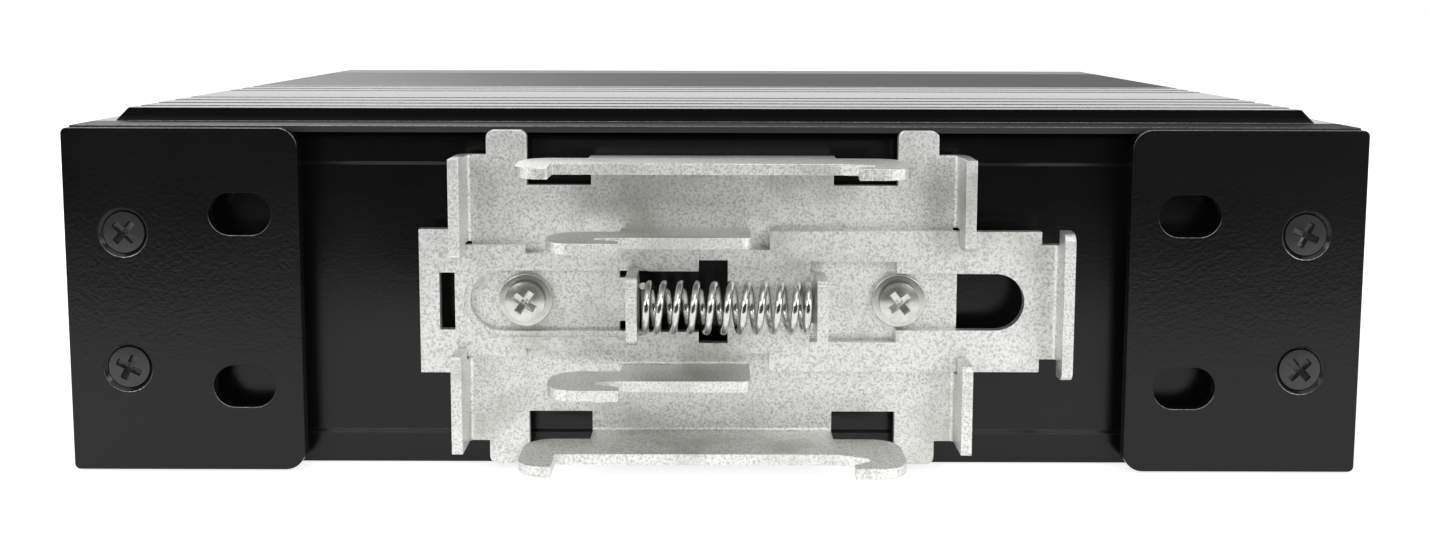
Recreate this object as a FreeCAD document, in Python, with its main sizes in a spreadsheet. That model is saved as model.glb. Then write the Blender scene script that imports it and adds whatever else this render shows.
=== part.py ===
"""Slim DIN rail ethernet switch, lying on its large side with the rail clip towards -Y.

X runs along the long side of the case, Y from the rail side (-Y) to the port side (+Y), and Z is up.
The origin is the middle of the case's underside. All sizes are millimetres.
"""
import FreeCAD, Part
import math
import os

import Sketcher

SHEET_NAME = "Sizes"
WIRE_SIDES = 8

DIMENSIONS = [
    # case
    ("case_length", 156.6), ("case_depth", 120.0), ("case_height", 41.6),
    ("end_wall", 2.2), ("floor_sheet", 2.0), ("rear_wall", 2.0),
    ("rear_recess", 2.3), ("end_flange", 14.1),
    ("field_step", 0.3), ("field_margin", 3.7), ("field_bevel", 0.42), ("rear_edge_radius", 1.0),
    ("post_side", 6.5), ("fit_gap", 0.1),
    # ribbed cover
    ("cover_sheet", 0.8), ("rib_field_height", 1.7), ("rib_field_side_inset", 2.9),
    ("rib_field_rear_inset", 6.9), ("rib_field_front_inset", 2.3), ("rib_field_bevel", 1.6),
    ("groove_width", 1.6), ("groove_depth", 0.9),
    ("rear_groove_start", 3.3), ("rear_groove_pitch", 5.9), ("rear_groove_count", 4),
    ("inner_groove_start", 37.5), ("inner_groove_pitch", 5.5), ("inner_groove_count", 3),
    ("lip_drop", 7.0), ("lip_thickness", 3.2), ("lip_length", 92.0), ("lip_screw_spacing", 70.0),
    # mounting ears
    ("ear_width", 28.4), ("ear_height", 42.2), ("ear_sheet", 1.5), ("ear_overhang", 0.45),
    ("ear_inner_radius", 2.4), ("ear_outer_radius", 0.7), ("ear_screw_inset", 7.05),
    ("ear_screw_spacing", 16.7), ("ear_slot_inset", 21.25), ("ear_slot_spacing", 21.3),
    ("ear_slot_length", 7.6), ("ear_slot_width", 5.2),
    # countersunk screws of ears, cover and front
    ("screw_shank", 3.0), ("screw_head", 5.6), ("screw_head_depth", 1.3), ("screw_length", 5.0),
    ("thread_gap", 0.06), ("sink_gap", 0.1),
    # rail clip, fixed plate
    ("clip_shift", -0.3), ("clip_axis_height", 21.5), ("clip_sheet", 1.3), ("clip_standoff", 2.4),
    ("bend_radius", 0.5), ("base_half_width", 30.93), ("base_half_height", 17.65),
    ("side_flange_reach", 5.85), ("finger_gap", 0.3), ("finger_lap_left", 1.0), ("finger_lap_right", 1.8),
    ("notch_inner", 14.65), ("notch_outer", 22.4), ("notch_depth", 3.7),
    ("corner_tab_outer", 27.3), ("corner_tab_rise", 2.95), ("corner_tab_radius", 0.9),
    ("window_reach", 3.0), ("window_half_height", 5.4), ("tongue_left", 30.6), ("tongue_right", 29.75),
    ("relief_gap", 0.9), ("clip_screw_spacing", 45.2),
    # rail seat and fixed hooks
    ("seat_reach", 9.65), ("arm_clearance", 3.55), ("stop_inner", 18.25), ("stop_outer", 22.3),
    ("stop_reach", 4.7), ("hook_throat", 18.2), ("hook_tip", 16.3), ("hook_outer", 22.4),
    ("throat_back", 1.4), ("throat_front", 2.4), ("tip_back", 3.6), ("tip_front", 5.2),
    ("arm_radius", 3.4),
    # spring tabs and spring
    ("fixed_tab_face", -8.79), ("fixed_tab_neck", 2.7), ("fixed_tab_half", 4.2), ("tab_reach", 7.45),
    ("tab_radius", 1.2), ("tab_relief", 1.2), ("tab_relief_length", 1.15),
    ("sliding_tab_face", 12.3), ("sliding_tab_half", 3.6), ("sliding_tab_chamfer", 0.8),
    ("spring_outer", 6.5), ("spring_wire", 0.9), ("spring_turns", 10.5), ("spring_clearance", 0.15),
    ("spring_seat_gap", 0.05),
    # slider
    ("slide_gap", 0.15), ("stop_gap", 0.3),
    ("head_end", -35.3), ("head_half", 8.78), ("neck_half", 6.8), ("body_half", 8.6),
    ("neck_end", -10.9), ("slider_notch_start", -22.5), ("slider_notch_end", -20.2),
    ("slider_notch_half", 5.8), ("tool_slot_start", -32.9), ("tool_slot_end", -31.05),
    ("tool_slot_half", 3.5), ("left_slot_start", -29.3), ("left_slot_end", 1.87),
    ("slot_half", 3.7), ("slot_rim", 0.7), ("rim_depth", 0.35),
    ("cross_start", -1.63), ("cross_half", 5.07), ("right_window_start", 11.76),
    ("right_window_end", 22.26), ("right_window_half", 4.95), ("narrow_half", 3.47),
    ("narrow_end", 37.7), ("pull_face", 41.6), ("pull_root_half", 7.0), ("pull_half", 8.9),
    ("pull_reach", 3.5), ("pull_relief", 1.45), ("tab_end", 4.5), ("tab_end_relief", 2.4),
    ("tab_relief_half", 6.3), ("tab_offset", 0.45), ("sliding_seat_gap", 0.2),
    ("sliding_hook_outer", -19.0), ("sliding_hook_throat", -13.5), ("sliding_hook_tip", -10.6),
    ("sliding_throat_back", 0.3), ("sliding_throat_front", 1.3), ("sliding_tip_back", 2.5),
    ("sliding_tip_front", 4.2), ("sliding_arm_clearance", 3.3), ("sliding_arm_radius", 3.6),
    # clip screws
    ("clip_head", 4.9), ("clip_head_height", 1.5), ("clip_flange", 6.5), ("clip_flange_height", 0.8),
    ("clip_spacer_side", 8.0), ("clip_nut_height", 3.0), ("clip_screw_reach", 3.5),
    # board and what stands on it
    ("board_thickness", 1.6), ("standoff_height", 6.0), ("standoff_width", 5.5),
    ("board_side_gap", 3.0), ("board_rear_gap", 6.0), ("board_front_gap", 3.0),
    ("board_screw_inset", 6.0), ("pan_head", 5.5), ("pan_head_height", 1.8), ("board_screw_reach", 4.0),
    # ports
    ("port_count", 4), ("jack_height", 13.4), ("jack_depth", 21.0),
    ("jack_proud", 0.6), ("port_width", 11.8), ("port_height", 6.9),
    ("latch_width", 6.2), ("latch_height", 2.6), ("port_depth", 13.0), ("port_bottom", 2.2),
    ("jack_side_gap", 3.6), ("jack_gap", 1.2), ("panel_sheet", 2.0), ("port_gap", 0.25),
    # light pipes
    ("pipe_side", 2.2), ("pipe_height", 18.5), ("pipe_proud", 0.4), ("pipe_leg_gap", 0.7),
    # power connector
    ("plug_pitch", 3.81), ("plug_ways", 4), ("socket_wall", 1.2), ("socket_height", 9.2),
    ("socket_depth", 12.0), ("plug_reach", 8.0), ("socket_gap", 1.6), ("socket_side_gap", 8.16),
    ("plug_hole", 2.4),
    ("plug_screw", 2.2),
    # chips and power parts
    ("chip_side", 20.0), ("chip_height", 1.8), ("sink_side", 27.0), ("sink_height", 11.0),
    ("sink_base", 2.5), ("fin_thickness", 1.2), ("fin_pitch", 3.6), ("fin_count", 8),
    ("magnetic_width", 12.6), ("magnetic_depth", 15.0), ("magnetic_height", 5.8), ("magnetic_gap", 4.0),
    ("capacitor_diameter", 10.0), ("capacitor_height", 16.0), ("capacitor_pitch", 12.5),
    ("capacitor_count", 3), ("inductor_side", 12.0), ("inductor_height", 8.0),
    # earth screw
    ("earth_head", 7.0), ("earth_head_height", 2.4), ("earth_shank", 4.0), ("earth_washer", 9.0),
    ("earth_washer_sheet", 0.8), ("earth_inset", 11.5), ("earth_drop", 9.5),
]


class Size:
    """A length with the expression that binds it to the sheet."""

    def __init__(self, text, value):
        self.text = text
        self.value = value

    def combine(self, other, sign, result):
        other = as_size(other)
        return Size(f"({self.text} {sign} {other.text})", result(self.value, other.value))

    def __add__(self, other):
        return self.combine(other, "+", lambda a, b: a + b)

    def __radd__(self, other):
        return as_size(other) + self

    def __sub__(self, other):
        return self.combine(other, "-", lambda a, b: a - b)

    def __rsub__(self, other):
        return as_size(other) - self

    def __mul__(self, other):
        return self.combine(other, "*", lambda a, b: a * b)

    def __rmul__(self, other):
        return as_size(other) * self

    def __truediv__(self, other):
        return self.combine(other, "/", lambda a, b: a / b)

    def __neg__(self):
        return Size(f"(0 - {self.text})", -self.value)


def as_size(item):
    """A plain number as a Size."""
    return item if isinstance(item, Size) else Size(f"{item:.6g}", float(item))


class Sizes:
    """The driving dimensions, each as a Size under its own name."""

    def __init__(self, document):
        sheet = document.addObject("Spreadsheet::Sheet", SHEET_NAME)
        for row, (name, value) in enumerate(DIMENSIONS, start=1):
            sheet.set(f"A{row}", name)
            sheet.set(f"B{row}", str(value))
            sheet.setAlias(f"B{row}", name)
            setattr(self, name, Size(f"{SHEET_NAME}.{name}", float(value)))
        document.recompute()


doc = FreeCAD.newDocument("din_rail_switch")
d = Sizes(doc)
sub_parts = []


def bind(item, path, value):
    """Set a property of an object from a Size."""
    value = as_size(value)
    item.setExpression(path, value.text)


# ---------------------------------------------------------------- building blocks

def new_body(label, several=False):
    """A body that becomes one sub-part; several allows separate solids in it."""
    body = doc.addObject("PartDesign::Body", label)
    body.Label = label
    body.AllowCompound = several
    sub_parts.append(body)
    return body


NORMAL_SIGN = {"XY_Plane": 1, "XZ_Plane": -1, "YZ_Plane": 1}


def new_sketch(body, plane, position=0):
    """A sketch on an origin plane of the body, moved to a position along that plane's axis."""
    sketch = body.newObject("Sketcher::SketchObject", f"{body.Name}_sketch")
    support = next(item for item in body.Origin.OriginFeatures if item.Role == plane)
    sketch.AttachmentSupport = [(support, "")]
    sketch.MapMode = "FlatFace"
    bind(sketch, "AttachmentOffset.Base.z", as_size(position) * NORMAL_SIGN[plane])
    return sketch


def fix_point(sketch, index, corner, point):
    """Bind a point of the sketch to its two coordinates."""
    for kind, value in zip(("DistanceX", "DistanceY"), point):
        value = as_size(value)
        place = sketch.addConstraint(Sketcher.Constraint(kind, -1, 1, index, corner, value.value))
        bind(sketch, f"Constraints[{place}]", value)


def draw_outline(sketch, points):
    """A closed outline of straight lines through the points."""
    vectors = [FreeCAD.Vector(as_size(x).value, as_size(y).value, 0) for x, y in points]
    first = sketch.GeometryCount
    count = len(points)
    for number in range(count):
        sketch.addGeometry(Part.LineSegment(vectors[number], vectors[(number + 1) % count]))
    for number in range(count):
        following = first + (number + 1) % count
        sketch.addConstraint(Sketcher.Constraint("Coincident", first + number, 2, following, 1))
    for number, point in enumerate(points):
        fix_point(sketch, first + number, 1, point)


def draw_rectangle(sketch, low, high):
    """A rectangle between two opposite corners."""
    draw_outline(sketch, [(low[0], low[1]), (high[0], low[1]), (high[0], high[1]), (low[0], high[1])])


def draw_circle(sketch, centre, diameter):
    """A circle about a bound centre."""
    radius = as_size(diameter) / 2
    middle = FreeCAD.Vector(as_size(centre[0]).value, as_size(centre[1]).value, 0)
    index = sketch.addGeometry(Part.Circle(middle, FreeCAD.Vector(0, 0, 1), radius.value))
    fix_point(sketch, index, 3, centre)
    place = sketch.addConstraint(Sketcher.Constraint("Radius", index, radius.value))
    bind(sketch, f"Constraints[{place}]", radius)


def draw_slot(sketch, start, end, half):
    """A slot with round ends along the sketch's first axis, between two arc centres."""
    half = as_size(half)
    centres = [FreeCAD.Vector(as_size(x).value, as_size(y).value, 0) for x, y in (start, end)]
    up = FreeCAD.Vector(0, half.value, 0)
    axis = FreeCAD.Vector(0, 0, 1)
    left = sketch.addGeometry(Part.ArcOfCircle(Part.Circle(centres[0], axis, half.value),
                                               math.pi / 2, 3 * math.pi / 2))
    bottom = sketch.addGeometry(Part.LineSegment(centres[0] - up, centres[1] - up))
    right = sketch.addGeometry(Part.ArcOfCircle(Part.Circle(centres[1], axis, half.value),
                                                -math.pi / 2, math.pi / 2))
    top = sketch.addGeometry(Part.LineSegment(centres[1] + up, centres[0] + up))
    for one, one_end, other, other_end in ((left, 2, bottom, 1), (bottom, 2, right, 1),
                                           (right, 2, top, 1), (top, 2, left, 1)):
        sketch.addConstraint(Sketcher.Constraint("Tangent", one, one_end, other, other_end))
    fix_point(sketch, left, 3, start)
    fix_point(sketch, right, 3, end)
    place = sketch.addConstraint(Sketcher.Constraint("Radius", left, half.value))
    bind(sketch, f"Constraints[{place}]", half)
    sketch.addConstraint(Sketcher.Constraint("Equal", left, right))


def update(feature):
    """Recompute the document and stop if the feature failed."""
    doc.recompute()
    if "Invalid" in feature.State or not feature.Shape.isValid():
        raise RuntimeError(f"{feature.Name} failed: {feature.getStatusString()}")
    return feature


def extrude(body, kind, sketch, length, backwards, taper=0):
    """A pad or pocket of the sketch; checks that it changed the body's volume."""
    before = body.Shape.Volume if body.Tip else 0.0
    feature = body.newObject(f"PartDesign::{kind}", f"{body.Name}_{kind.lower()}")
    feature.Profile = (sketch, [""])
    bind(feature, "Length", length)
    feature.Reversed = backwards
    if taper:
        feature.TaperAngle = taper
    update(feature)
    change = body.Shape.Volume - before
    if (change <= 0) == (kind == "Pad"):
        raise RuntimeError(f"{feature.Name} left the volume of {body.Label} as it was")
    return feature


def pad(body, sketch, length, backwards=False, taper=0):
    """Add the sketch's outline; forwards is along +X, +Z or -Y."""
    return extrude(body, "Pad", sketch, length, backwards, taper)


def cut(body, sketch, length, backwards=False):
    """Remove the sketch's outline; forwards is along -X, -Z or +Y."""
    return extrude(body, "Pocket", sketch, length, backwards)


def pad_box(body, low, high):
    """Add a box between two corners."""
    sketch = new_sketch(body, "XY_Plane", low[2])
    draw_rectangle(sketch, low, high)
    return pad(body, sketch, as_size(high[2]) - low[2])


def cut_box(body, low, high):
    """Remove a box between two corners."""
    sketch = new_sketch(body, "XY_Plane", high[2])
    draw_rectangle(sketch, low, high)
    return cut(body, sketch, as_size(high[2]) - low[2])


def find_edges(body, tolerance=1e-4, **places):
    """Names of the body's edges whose ends all lie at the given x, y or z, or between two values."""
    names = []
    for number, edge in enumerate(body.Shape.Edges, start=1):
        fits = True
        for axis, wanted in places.items():
            low, high = wanted if isinstance(wanted, tuple) else (wanted, wanted)
            low, high = as_size(low).value - tolerance, as_size(high).value + tolerance
            fits = fits and all(low <= getattr(vertex.Point, axis) <= high for vertex in edge.Vertexes)
        if fits:
            names.append(f"Edge{number}")
    return names


def dress(body, kind, radius, *groups):
    """A fillet or chamfer of one size on the edges that each group of places finds."""
    names = [name for places in groups for name in find_edges(body, **places)]
    if not names:
        raise RuntimeError(f"no edge of {body.Label} lies at {groups}")
    base = body.Tip
    feature = body.newObject(f"PartDesign::{kind}", f"{body.Name}_{kind.lower()}")
    feature.Base = (base, names)
    bind(feature, "Radius" if kind == "Fillet" else "Size", radius)
    return update(feature)


def fillet(body, radius, *groups):
    """Round the edges found at the given places."""
    return dress(body, "Fillet", radius, *groups)


def chamfer(body, size, *groups):
    """Bevel the edges found at the given places."""
    return dress(body, "Chamfer", size, *groups)


# ---------------------------------------------------------------- shared places

case_half = d.case_length / 2
rear = -d.case_depth / 2
front = d.case_depth / 2
panel = rear + d.rear_recess
rear_inside = panel + d.rear_wall
inner_half = case_half - d.end_wall
cover_bottom = d.case_height + d.fit_gap
cover_top = cover_bottom + d.cover_sheet
field_top = cover_top + d.rib_field_height

ear_face = rear - d.ear_sheet
ear_outer = case_half + d.ear_overhang
ear_middle = d.fit_gap + d.ear_height / 2
ear_screw_x = ear_outer - d.ear_screw_inset
ear_slot_x = ear_outer - d.ear_slot_inset

clip_back = panel - d.clip_standoff
clip_face = clip_back - d.clip_sheet
slider_back = clip_face - d.slide_gap
slider_face = slider_back - d.clip_sheet
seat_face = clip_face - d.seat_reach
clip_z = d.clip_axis_height
bend_outer = d.bend_radius + d.clip_sheet
clip_screw_half = d.clip_screw_spacing / 2

board_bottom = d.floor_sheet + d.standoff_height
board_top = board_bottom + d.board_thickness
board_half = inner_half - d.board_side_gap
board_rear = rear_inside + d.board_rear_gap
board_front = front - d.board_front_gap
board_screw_x = board_half - d.board_screw_inset

panel_inside = front - d.panel_sheet
plug_width = d.plug_pitch * d.plug_ways
socket_end = inner_half - d.socket_side_gap
socket_start = socket_end - plug_width - 2 * d.socket_wall
left_jack_start = d.jack_side_gap - inner_half
jack_length = (socket_start - d.socket_gap - d.jack_gap - left_jack_start) / 2
port_pitch = jack_length / d.port_count
jack_face = front + d.jack_proud
jack_rear = jack_face - d.jack_depth
right_jack_start = left_jack_start + jack_length + d.jack_gap
jack_starts = {"jack_block_left": left_jack_start, "jack_block_right": right_jack_start}
port_half = d.port_width / 2
board_screw_ys = (board_rear + d.board_screw_inset,
                  jack_rear - d.magnetic_gap - d.magnetic_depth - d.board_screw_inset)

socket_rear = front - d.socket_depth
socket_top = board_top + d.socket_height
plug_start = socket_start + d.socket_wall
plug_end = socket_end - d.socket_wall

pipe_bottom = board_top + d.pipe_height
pipe_top = pipe_bottom + d.pipe_side
pipe_leg = jack_rear - d.pipe_leg_gap - d.pipe_side

earth_x = case_half - d.earth_inset
earth_z = d.case_height - d.earth_drop
post_half = inner_half - d.post_side / 2
front_screw_z = d.floor_sheet + d.post_side / 2
lip_outer = inner_half - d.fit_gap
lip_inner = lip_outer - d.lip_thickness
lip_bottom = cover_bottom - d.lip_drop
lip_screw_z = cover_bottom - d.lip_drop / 2
lip_screw_ys = (-d.lip_screw_spacing / 2, d.lip_screw_spacing / 2)


def clip_x(position):
    """A place along the clip as a place along the case."""
    return d.clip_shift + position


def port_centres(start):
    """Middles of the ports of a jack block that starts at the given place."""
    return [start + port_pitch * (number + 0.5) for number in range(int(d.port_count.value))]


# ---------------------------------------------------------------- case

def build_chassis():
    """Tray with a recessed rear wall, end flanges behind the ears, and posts for the front plate."""
    body = new_body("chassis")
    pad_box(body, (-case_half, rear, 0), (case_half, front, d.case_height))
    cut_box(body, (-inner_half, rear_inside, d.floor_sheet), (inner_half, front + 1, d.case_height + 1))
    recess_half = case_half - d.end_flange
    cut_box(body, (-recess_half, rear - 1, -1), (recess_half, panel, d.case_height + 1))
    field = new_sketch(body, "YZ_Plane", recess_half)
    low, high = d.field_margin, d.case_height - d.field_margin
    draw_outline(field, [(rear, low), (panel, low), (panel + d.field_step, low + d.field_bevel),
                         (panel + d.field_step, high - d.field_bevel), (panel, high), (rear, high)])
    cut(body, field, 2 * recess_half)
    fillet(body, d.rear_edge_radius, {"y": panel, "z": d.case_height})
    fillet(body, d.rear_edge_radius, {"x": -case_half, "y": rear}, {"x": case_half, "y": rear})
    for side in (-1, 1):
        inside, outside = side * (inner_half - d.post_side), side * (inner_half + d.end_wall / 2)
        low_x, high_x = (outside, inside) if side < 0 else (inside, outside)
        pad_box(body, (low_x, panel_inside - d.post_side, d.floor_sheet / 2),
                (high_x, panel_inside, board_bottom - d.fit_gap))
    holes = new_sketch(body, "XZ_Plane", rear)
    for side in (-1, 1):
        for rise in (-0.5, 0.5):
            draw_circle(holes, (side * ear_screw_x, ear_middle + rise * d.ear_screw_spacing),
                        d.screw_shank + 2 * d.thread_gap)
    cut(body, holes, d.rear_recess + d.rear_wall)
    clip_holes = new_sketch(body, "XZ_Plane", panel)
    for side in (-1, 1):
        draw_circle(clip_holes, (clip_x(side * clip_screw_half), clip_z), d.screw_shank + 2 * d.thread_gap)
    cut(body, clip_holes, d.rear_wall + 1)
    front_holes = new_sketch(body, "XZ_Plane", panel_inside - d.screw_length)
    for side in (-1, 1):
        draw_circle(front_holes, (side * post_half, front_screw_z), d.screw_shank + 2 * d.thread_gap)
    cut(body, front_holes, d.screw_length + 1)
    for side in (-1, 1):
        holes = new_sketch(body, "YZ_Plane", side * case_half)
        for place in lip_screw_ys:
            draw_circle(holes, (place, lip_screw_z), d.screw_shank + 4 * d.thread_gap)
        cut(body, holes, d.end_wall, backwards=side < 0)
    chamfer(body, (d.screw_head - d.screw_shank) / 2 + d.sink_gap,
            *({"x": side * case_half, "z": (lip_bottom, cover_bottom),
               "y": (place - d.screw_shank, place + d.screw_shank)}
              for side in (-1, 1) for place in lip_screw_ys))
    return body


def build_top_cover():
    """Lid with a raised field of grooves along the case, and two screwed lips inside."""
    body = new_body("top_cover")
    pad_box(body, (-case_half, rear, cover_bottom), (case_half, front, cover_top))
    side = case_half - d.rib_field_side_inset
    start, end = rear + d.rib_field_rear_inset, front - d.rib_field_front_inset
    pad_box(body, (-side, start, cover_top), (side, end, field_top))
    chamfer(body, d.rib_field_bevel, {"x": -side, "z": field_top}, {"x": side, "z": field_top})
    grooves = ((d.rear_groove_start, d.rear_groove_pitch, d.rear_groove_count),
               (d.inner_groove_start, d.inner_groove_pitch, d.inner_groove_count))
    sketch = new_sketch(body, "YZ_Plane", side + 1)
    for first, pitch, count in grooves:
        for number in range(int(count.value)):
            middle = start + first + pitch * number
            draw_rectangle(sketch, (middle - d.groove_width / 2, field_top - d.groove_depth),
                           (middle + d.groove_width / 2, field_top + 1))
    cut(body, sketch, 2 * side + 2)
    for low, high in ((-lip_outer, -lip_inner), (lip_inner, lip_outer)):
        pad_box(body, (low, -d.lip_length / 2, lip_bottom), (high, d.lip_length / 2, cover_bottom))
    for side_sign in (-1, 1):
        holes = new_sketch(body, "YZ_Plane", side_sign * lip_outer)
        for place in lip_screw_ys:
            draw_circle(holes, (place, lip_screw_z), d.screw_shank + 2 * d.thread_gap)
        cut(body, holes, d.lip_thickness, backwards=side_sign < 0)
    return body


def build_front_panel():
    """Plate between the end walls with windows for the jacks, power plug, lights and earth screw."""
    body = new_body("front_panel")
    half = inner_half - d.fit_gap
    pad_box(body, (-half, panel_inside, d.floor_sheet + d.fit_gap), (half, front, d.case_height))
    windows = new_sketch(body, "XZ_Plane", panel_inside)
    for start in jack_starts.values():
        draw_rectangle(windows, (start - d.port_gap, board_top - d.port_gap),
                       (start + jack_length + d.port_gap, board_top + d.jack_height + d.port_gap))
        for centre in port_centres(start):
            draw_rectangle(windows, (centre - d.pipe_side / 2 - d.fit_gap, pipe_bottom - d.fit_gap),
                           (centre + d.pipe_side / 2 + d.fit_gap, pipe_top + d.fit_gap))
    draw_rectangle(windows, (socket_start - d.port_gap, board_top - d.port_gap),
                   (socket_end + d.port_gap, socket_top + d.port_gap))
    draw_circle(windows, (earth_x, earth_z), d.earth_shank + 2 * d.thread_gap)
    for side in (-1, 1):
        draw_circle(windows, (side * post_half, front_screw_z), d.screw_shank + 4 * d.thread_gap)
    cut(body, windows, d.panel_sheet)
    chamfer(body, (d.screw_head - d.screw_shank) / 2 + d.sink_gap,
            *({"y": front, "z": (0, front_screw_z + d.screw_shank),
               "x": (side * post_half - d.screw_shank, side * post_half + d.screw_shank)}
              for side in (-1, 1)))
    return body


def build_ear(label, side):
    """Flat mounting ear, turned inwards: two countersunk holes outside and two slots inside."""
    body = new_body(label)
    inner, outer = side * (ear_outer - d.ear_width), side * ear_outer
    low, high = (outer, inner) if side < 0 else (inner, outer)
    bottom, top = d.fit_gap, d.fit_gap + d.ear_height
    pad_box(body, (low, ear_face, bottom), (high, rear, top))
    fillet(body, d.ear_inner_radius, {"x": inner, "z": bottom}, {"x": inner, "z": top})
    fillet(body, d.ear_outer_radius, {"x": outer, "z": bottom}, {"x": outer, "z": top})
    holes = new_sketch(body, "XZ_Plane", ear_face)
    reach = (d.ear_slot_length - d.ear_slot_width) / 2
    for rise in (-0.5, 0.5):
        draw_circle(holes, (side * ear_screw_x, ear_middle + rise * d.ear_screw_spacing),
                    d.screw_shank + 4 * d.thread_gap)
        height = ear_middle + rise * d.ear_slot_spacing
        draw_slot(holes, (side * ear_slot_x - reach, height), (side * ear_slot_x + reach, height),
                  d.ear_slot_width / 2)
    cut(body, holes, d.ear_sheet)
    near = d.screw_shank
    chamfer(body, (d.screw_head - d.screw_shank) / 2 + d.sink_gap,
            {"y": ear_face, "x": (side * ear_screw_x - near, side * ear_screw_x + near),
             "z": (bottom + near, top - near)})
    return body


def build_sunk_screws(label, plane, face, places, outward):
    """Countersunk screws as separate solids, their heads in the given face of the given plane."""
    body = new_body(label, several=True)
    forwards = outward == NORMAL_SIGN[plane]
    heads = new_sketch(body, plane, face)
    shanks = new_sketch(body, plane, face)
    for place in places:
        draw_circle(heads, place, d.screw_head)
        draw_circle(shanks, place, d.screw_shank)
    pad(body, heads, d.screw_head_depth, backwards=forwards, taper=-45)
    pad(body, shanks, d.screw_length, backwards=forwards)
    return body


# ---------------------------------------------------------------- rail clip

def bend(body, inner, outer):
    """Round both sides of a folded edge of the clip's sheet."""
    fillet(body, d.bend_radius, inner)
    fillet(body, bend_outer, outer)


def mirror_heights(low, high):
    """The two bands at the given distances below and above the clip's axis."""
    return ((clip_z - high, clip_z - low), (clip_z + low, clip_z + high))


def build_clip_base():
    """Fixed plate with folded sides, two rail seats with a stop and a hook, and a spring tab."""
    body = new_body("clip_base")
    half, inner = d.base_half_width, d.base_half_width - d.clip_sheet
    side_front = clip_face - d.side_flange_reach
    bottom, top = clip_z - d.base_half_height, clip_z + d.base_half_height
    trough = new_sketch(body, "XY_Plane", bottom)
    draw_outline(trough, [(clip_x(-half), side_front), (clip_x(-inner), side_front),
                          (clip_x(-inner), clip_face), (clip_x(inner), clip_face),
                          (clip_x(inner), side_front), (clip_x(half), side_front),
                          (clip_x(half), clip_back), (clip_x(-half), clip_back)])
    pad(body, trough, 2 * d.base_half_height)
    fillet(body, d.bend_radius, {"x": clip_x(-inner), "y": clip_face}, {"x": clip_x(inner), "y": clip_face})
    fillet(body, bend_outer, {"x": clip_x(-half), "y": clip_back}, {"x": clip_x(half), "y": clip_back})
    open_clip_sides(body, inner, side_front)
    for low, high in mirror_heights(d.base_half_height - d.notch_depth, d.base_half_height + 1):
        for start, end in ((-d.notch_outer, -d.notch_inner), (d.notch_inner, d.notch_outer)):
            cut_box(body, (clip_x(start), clip_face - 1, low), (clip_x(end), clip_back + 1, high))
    add_corner_tabs(body)
    for low, high in mirror_heights(d.base_half_height - d.clip_sheet, d.base_half_height):
        add_rail_seat(body, low, high)
    bend(body, {"y": clip_face, "z": clip_z - d.base_half_height + d.clip_sheet,
                "x": (clip_x(-d.notch_inner), clip_x(d.notch_inner))},
         {"y": clip_back, "z": bottom, "x": (clip_x(-d.notch_inner), clip_x(d.notch_inner))})
    bend(body, {"y": clip_face, "z": clip_z + d.base_half_height - d.clip_sheet,
                "x": (clip_x(-d.notch_inner), clip_x(d.notch_inner))},
         {"y": clip_back, "z": top, "x": (clip_x(-d.notch_inner), clip_x(d.notch_inner))})
    add_fixed_tab(body)
    holes = new_sketch(body, "XZ_Plane", clip_face)
    for side in (-1, 1):
        draw_circle(holes, (clip_x(side * clip_screw_half), clip_z), d.screw_shank + 4 * d.thread_gap)
    cut(body, holes, d.clip_sheet)
    return body


def open_clip_sides(body, inner, side_front):
    """Windows in the folded sides for the slider, with fingers left over its edges."""
    under_finger = slider_face - d.finger_gap
    flat_end = inner - d.bend_radius
    for side, half, lap, tongue in ((-1, d.neck_half, d.finger_lap_left, d.tongue_left),
                                    (1, d.body_half, d.finger_lap_right, d.tongue_right)):
        passage = half + d.finger_gap
        start, end = side * flat_end, side * (d.base_half_width + 1)
        low_x, high_x = (end, start) if side < 0 else (start, end)
        cut_box(body, (clip_x(low_x), under_finger, clip_z - passage),
                (clip_x(high_x), clip_back + 1, clip_z + passage))
        tip = half - lap
        cut_box(body, (clip_x(low_x), side_front - 1, clip_z - tip),
                (clip_x(high_x), under_finger, clip_z + tip))
        reach = passage - d.relief_gap
        root, outer = side * (flat_end - 1), side * tongue
        low_x, high_x = (outer, root) if side < 0 else (root, outer)
        pad_box(body, (clip_x(low_x), clip_face, clip_z - reach), (clip_x(high_x), clip_back, clip_z + reach))
        corner = side * d.base_half_width
        fillet(body, (half - tip + d.finger_gap) / 2,
               {"y": side_front, "z": clip_z - tip, "x": (clip_x(corner) - 2, clip_x(corner) + 2)},
               {"y": side_front, "z": clip_z + tip, "x": (clip_x(corner) - 2, clip_x(corner) + 2)})


def add_corner_tabs(body):
    """Four tabs of the plate that reach past its upper and lower edges."""
    for low, high in mirror_heights(d.base_half_height - 1, d.base_half_height + d.corner_tab_rise):
        for start, end in ((-d.corner_tab_outer, -d.notch_outer), (d.notch_outer, d.corner_tab_outer)):
            pad_box(body, (clip_x(start), clip_face, low), (clip_x(end), clip_back, high))
    for edge in (clip_z - d.base_half_height - d.corner_tab_rise,
                 clip_z + d.base_half_height + d.corner_tab_rise):
        corners = [{"x": clip_x(place), "z": edge} for place in
                   (-d.corner_tab_outer, -d.notch_outer, d.notch_outer, d.corner_tab_outer)]
        fillet(body, d.corner_tab_radius, *corners)


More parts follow.
